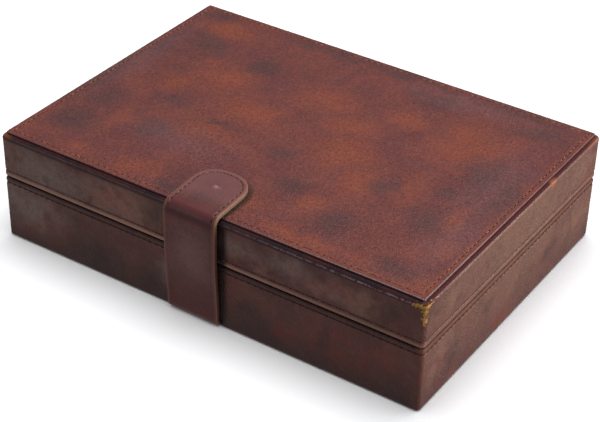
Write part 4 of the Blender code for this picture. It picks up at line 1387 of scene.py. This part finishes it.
def pad_seam(place, low, high):
    """1 on the pad's seams, falling to 0 half a grid step away from them."""
    column = (place.x - low.x - PAD_GAP) / (high.x - low.x - 2 * PAD_GAP) * PAD_COLUMNS
    row = (place.y - low.y - PAD_GAP) / (high.y - low.y - 2 * PAD_GAP) * PAD_ROWS
    nearest = 1.0
    for value in (column + row, column - row):
        turns = value / DIAMOND_STEPS
        nearest = min(nearest, abs(turns - round(turns)) * DIAMOND_STEPS)
    return 1 - step(nearest, 0.0, 0.6)


def wall_lining():
    """Satin stretched round the inside of the lid, with a turned hem at its lower edge."""
    low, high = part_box("lid_wall_lining")
    outer, inner = HALF_X - high.x, HALF_X - high.x + 0.6 * MM
    back = outer + 0.06 * MM
    bottom, top = low.z + 0.06 * MM, high.z - 0.06 * MM
    profile = [(back, bottom), (back, top), (inner - 0.1 * MM, top)]
    hem = bottom + 3.2 * MM
    profile += [(inner - 0.08 * MM, z) for z in between(top, hem, 9)[1:-1]]
    profile += [(inner - 0.08 * MM, hem + 0.15 * MM), (inner + 0.08 * MM, hem - 0.15 * MM)]
    profile += [(inner + 0.10 * MM, bottom + 1.8 * MM), (inner + 0.08 * MM, bottom + 0.3 * MM)]
    profile += [(inner - 0.1 * MM, bottom)]
    bm = bmesh.new()
    loft(bm, [ring(inset, z, 5, 120, 90) for inset, z in profile], closed=True)
    for vertex in bm.verts:
        if inset_of(vertex.co) > inner - 0.3 * MM:
            place = Vector((vertex.co.x / 0.011, vertex.co.y / 0.011, vertex.co.z / 0.040))
            wave = 0.16 * MM * noise.noise(place) * (1 - step(abs(vertex.co.z - hem), 0.0, 1.0 * MM))
            vertex.co -= outward(vertex.co) * (0.05 * MM + wave) if wave > 0 else Vector((0, 0, 0))
    made = to_object("lid_wall_satin", bm, [FINISHES["lid_satin"]], 60)
    paint_by_place(made, seam=lambda p: 0.8 * bell(p.z, hem, 0.6 * MM))
    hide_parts("lid_wall_lining")
    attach(made, "lid")


def floor_felt():
    """Felt laid on the floor of the base, gently uneven."""
    low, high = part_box("base_floor_lining")
    gap = 0.05 * MM
    xs, ys = [spread(reach - gap, [0.0, 0.4 * MM, 1.2 * MM], 5 * MM) for reach in (high.x, high.y)]

    def top(x, y):
        edge = min(high.x - abs(x), high.y - abs(y))
        uneven = 0.10 * MM * noise.noise(Vector((x, y, 2)) / 0.021)
        return high.z - 0.12 * MM + uneven - 0.15 * MM * (1 - step(edge, 0.0, 1.0 * MM))

    bm = bmesh.new()
    close_grids(bm, [
        [[bm.verts.new((x, y, height(x, y))) for y in ys] for x in xs]
        for height in (top, lambda x, y: low.z + gap)
    ])
    made = to_object("base_floor_felt", bm, [FINISHES["green_felt"]], 60)
    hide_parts("base_floor_lining")
    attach(made, "base")


# Stage


SURROUND_STRENGTH = 0.31
FLOOR_REACH = 6.0
FLOOR_COLOUR = (0.90, 0.905, 0.92)
AIM = Vector((0.0, 0.0, 0.05))
WHITE = (1.0, 1.0, 1.0)
WARM_WHITE = (1.0, 0.965, 0.925)
# Name, place, width, height, power, colour, and whether it lights all but the floor or only the floor
SOFT_BOXES = (
    ("side_soft_box", (1.15, 0.45, 0.30), 0.9, 0.5, 17.0, WARM_WHITE, "EXCLUDE"),
    ("top_soft_box", (0.1, 0.25, 1.5), 1.1, 1.1, 16.0, WHITE, None),
    ("front_left_strip", (-0.75, -0.75, 1.05), 0.7, 0.3, 0.8, WHITE, None),
    ("floor_soft_box", (0.0, 0.0, 2.0), 3.2, 3.2, 40.0, WHITE, "INCLUDE"),
    ("front_soft_box", (-0.5, -1.15, 0.45), 0.7, 0.4, 1.6, WHITE, "EXCLUDE"),
)
# The camera: angles in degrees, shifts in metres, lens and sensor in millimetres
AZIMUTH = 32.89
ELEVATION = 33.89
ROLL = 1.52
CAMERA_DISTANCE = 1.0817
CAMERA_ACROSS = -0.0005
CAMERA_UPWARDS = 0.0148
LENS = 100.05
SENSOR = 36.0


def studio():
    """A white floor, a soft even surround and five soft boxes."""
    scene = bpy.context.scene
    scene.view_settings.view_transform = "Standard"
    scene.world = bpy.data.worlds.new("studio")
    scene.world.use_nodes = True
    surround = scene.world.node_tree.nodes["Background"]
    surround.inputs["Color"].default_value = (*WHITE, 1.0)
    surround.inputs["Strength"].default_value = SURROUND_STRENGTH
    mesh = bpy.data.meshes.new("floor")
    corners = [(x * FLOOR_REACH, y * FLOOR_REACH, 0) for x, y in ((-1, -1), (1, -1), (1, 1), (-1, 1))]
    mesh.from_pydata(corners, [], [(0, 1, 2, 3)])
    floor = bpy.data.objects.new("floor", mesh)
    scene.collection.objects.link(floor)
    mesh.materials.append(Shader("white_floor").finish(FLOOR_COLOUR, 0.9, level=0.0))
    floor.visible_diffuse = False
    floor.visible_glossy = False
    for facts in SOFT_BOXES:
        add_soft_box(floor, *facts)


def add_soft_box(floor, name, place, width, height, power, colour, linked):
    """A soft rectangular lamp aimed at the case, which may leave out the floor or light only it."""
    lamp = bpy.data.lights.new(name, "AREA")
    lamp.shape = "RECTANGLE"
    lamp.size = width
    lamp.size_y = height
    lamp.energy = power
    lamp.color = colour
    made = bpy.data.objects.new(name, lamp)
    made.location = place
    made.rotation_mode = "QUATERNION"
    made.rotation_quaternion = (AIM - Vector(place)).to_track_quat("-Z", "Y")
    made.visible_camera = False
    bpy.context.scene.collection.objects.link(made)
    if linked:
        group = bpy.data.collections.new(name + "_receivers")
        group.objects.link(floor)
        made.light_linking.receiver_collection = group
        group.collection_objects[0].light_linking.link_state = linked


def camera():
    """Looks down on the case from its front right."""
    azimuth, elevation, roll = [math.radians(angle) for angle in (AZIMUTH, ELEVATION, ROLL)]
    level = Vector((math.cos(azimuth), math.sin(azimuth), 0.0))
    away = Vector((math.sin(azimuth), -math.cos(azimuth), 0.0))
    back = away * math.cos(elevation) + Vector((0.0, 0.0, math.sin(elevation)))
    upright = back.cross(level)
    right = level * math.cos(roll) + upright * math.sin(roll)
    up = upright * math.cos(roll) - level * math.sin(roll)
    place = Matrix((right, up, back)).transposed().to_4x4()
    place.translation = back * CAMERA_DISTANCE + level * CAMERA_ACROSS + upright * CAMERA_UPWARDS
    lens = bpy.data.cameras.new("camera")
    lens.lens = LENS
    lens.sensor_width = SENSOR
    made = bpy.data.objects.new("camera", lens)
    made.matrix_world = place
    bpy.context.scene.collection.objects.link(made)
    bpy.context.scene.camera = made


camera()
studio()
dress_cad_nodes()
lid_side()
base_side()
top_panel()
strap()
ceiling_pad()
wall_lining()
floor_felt()
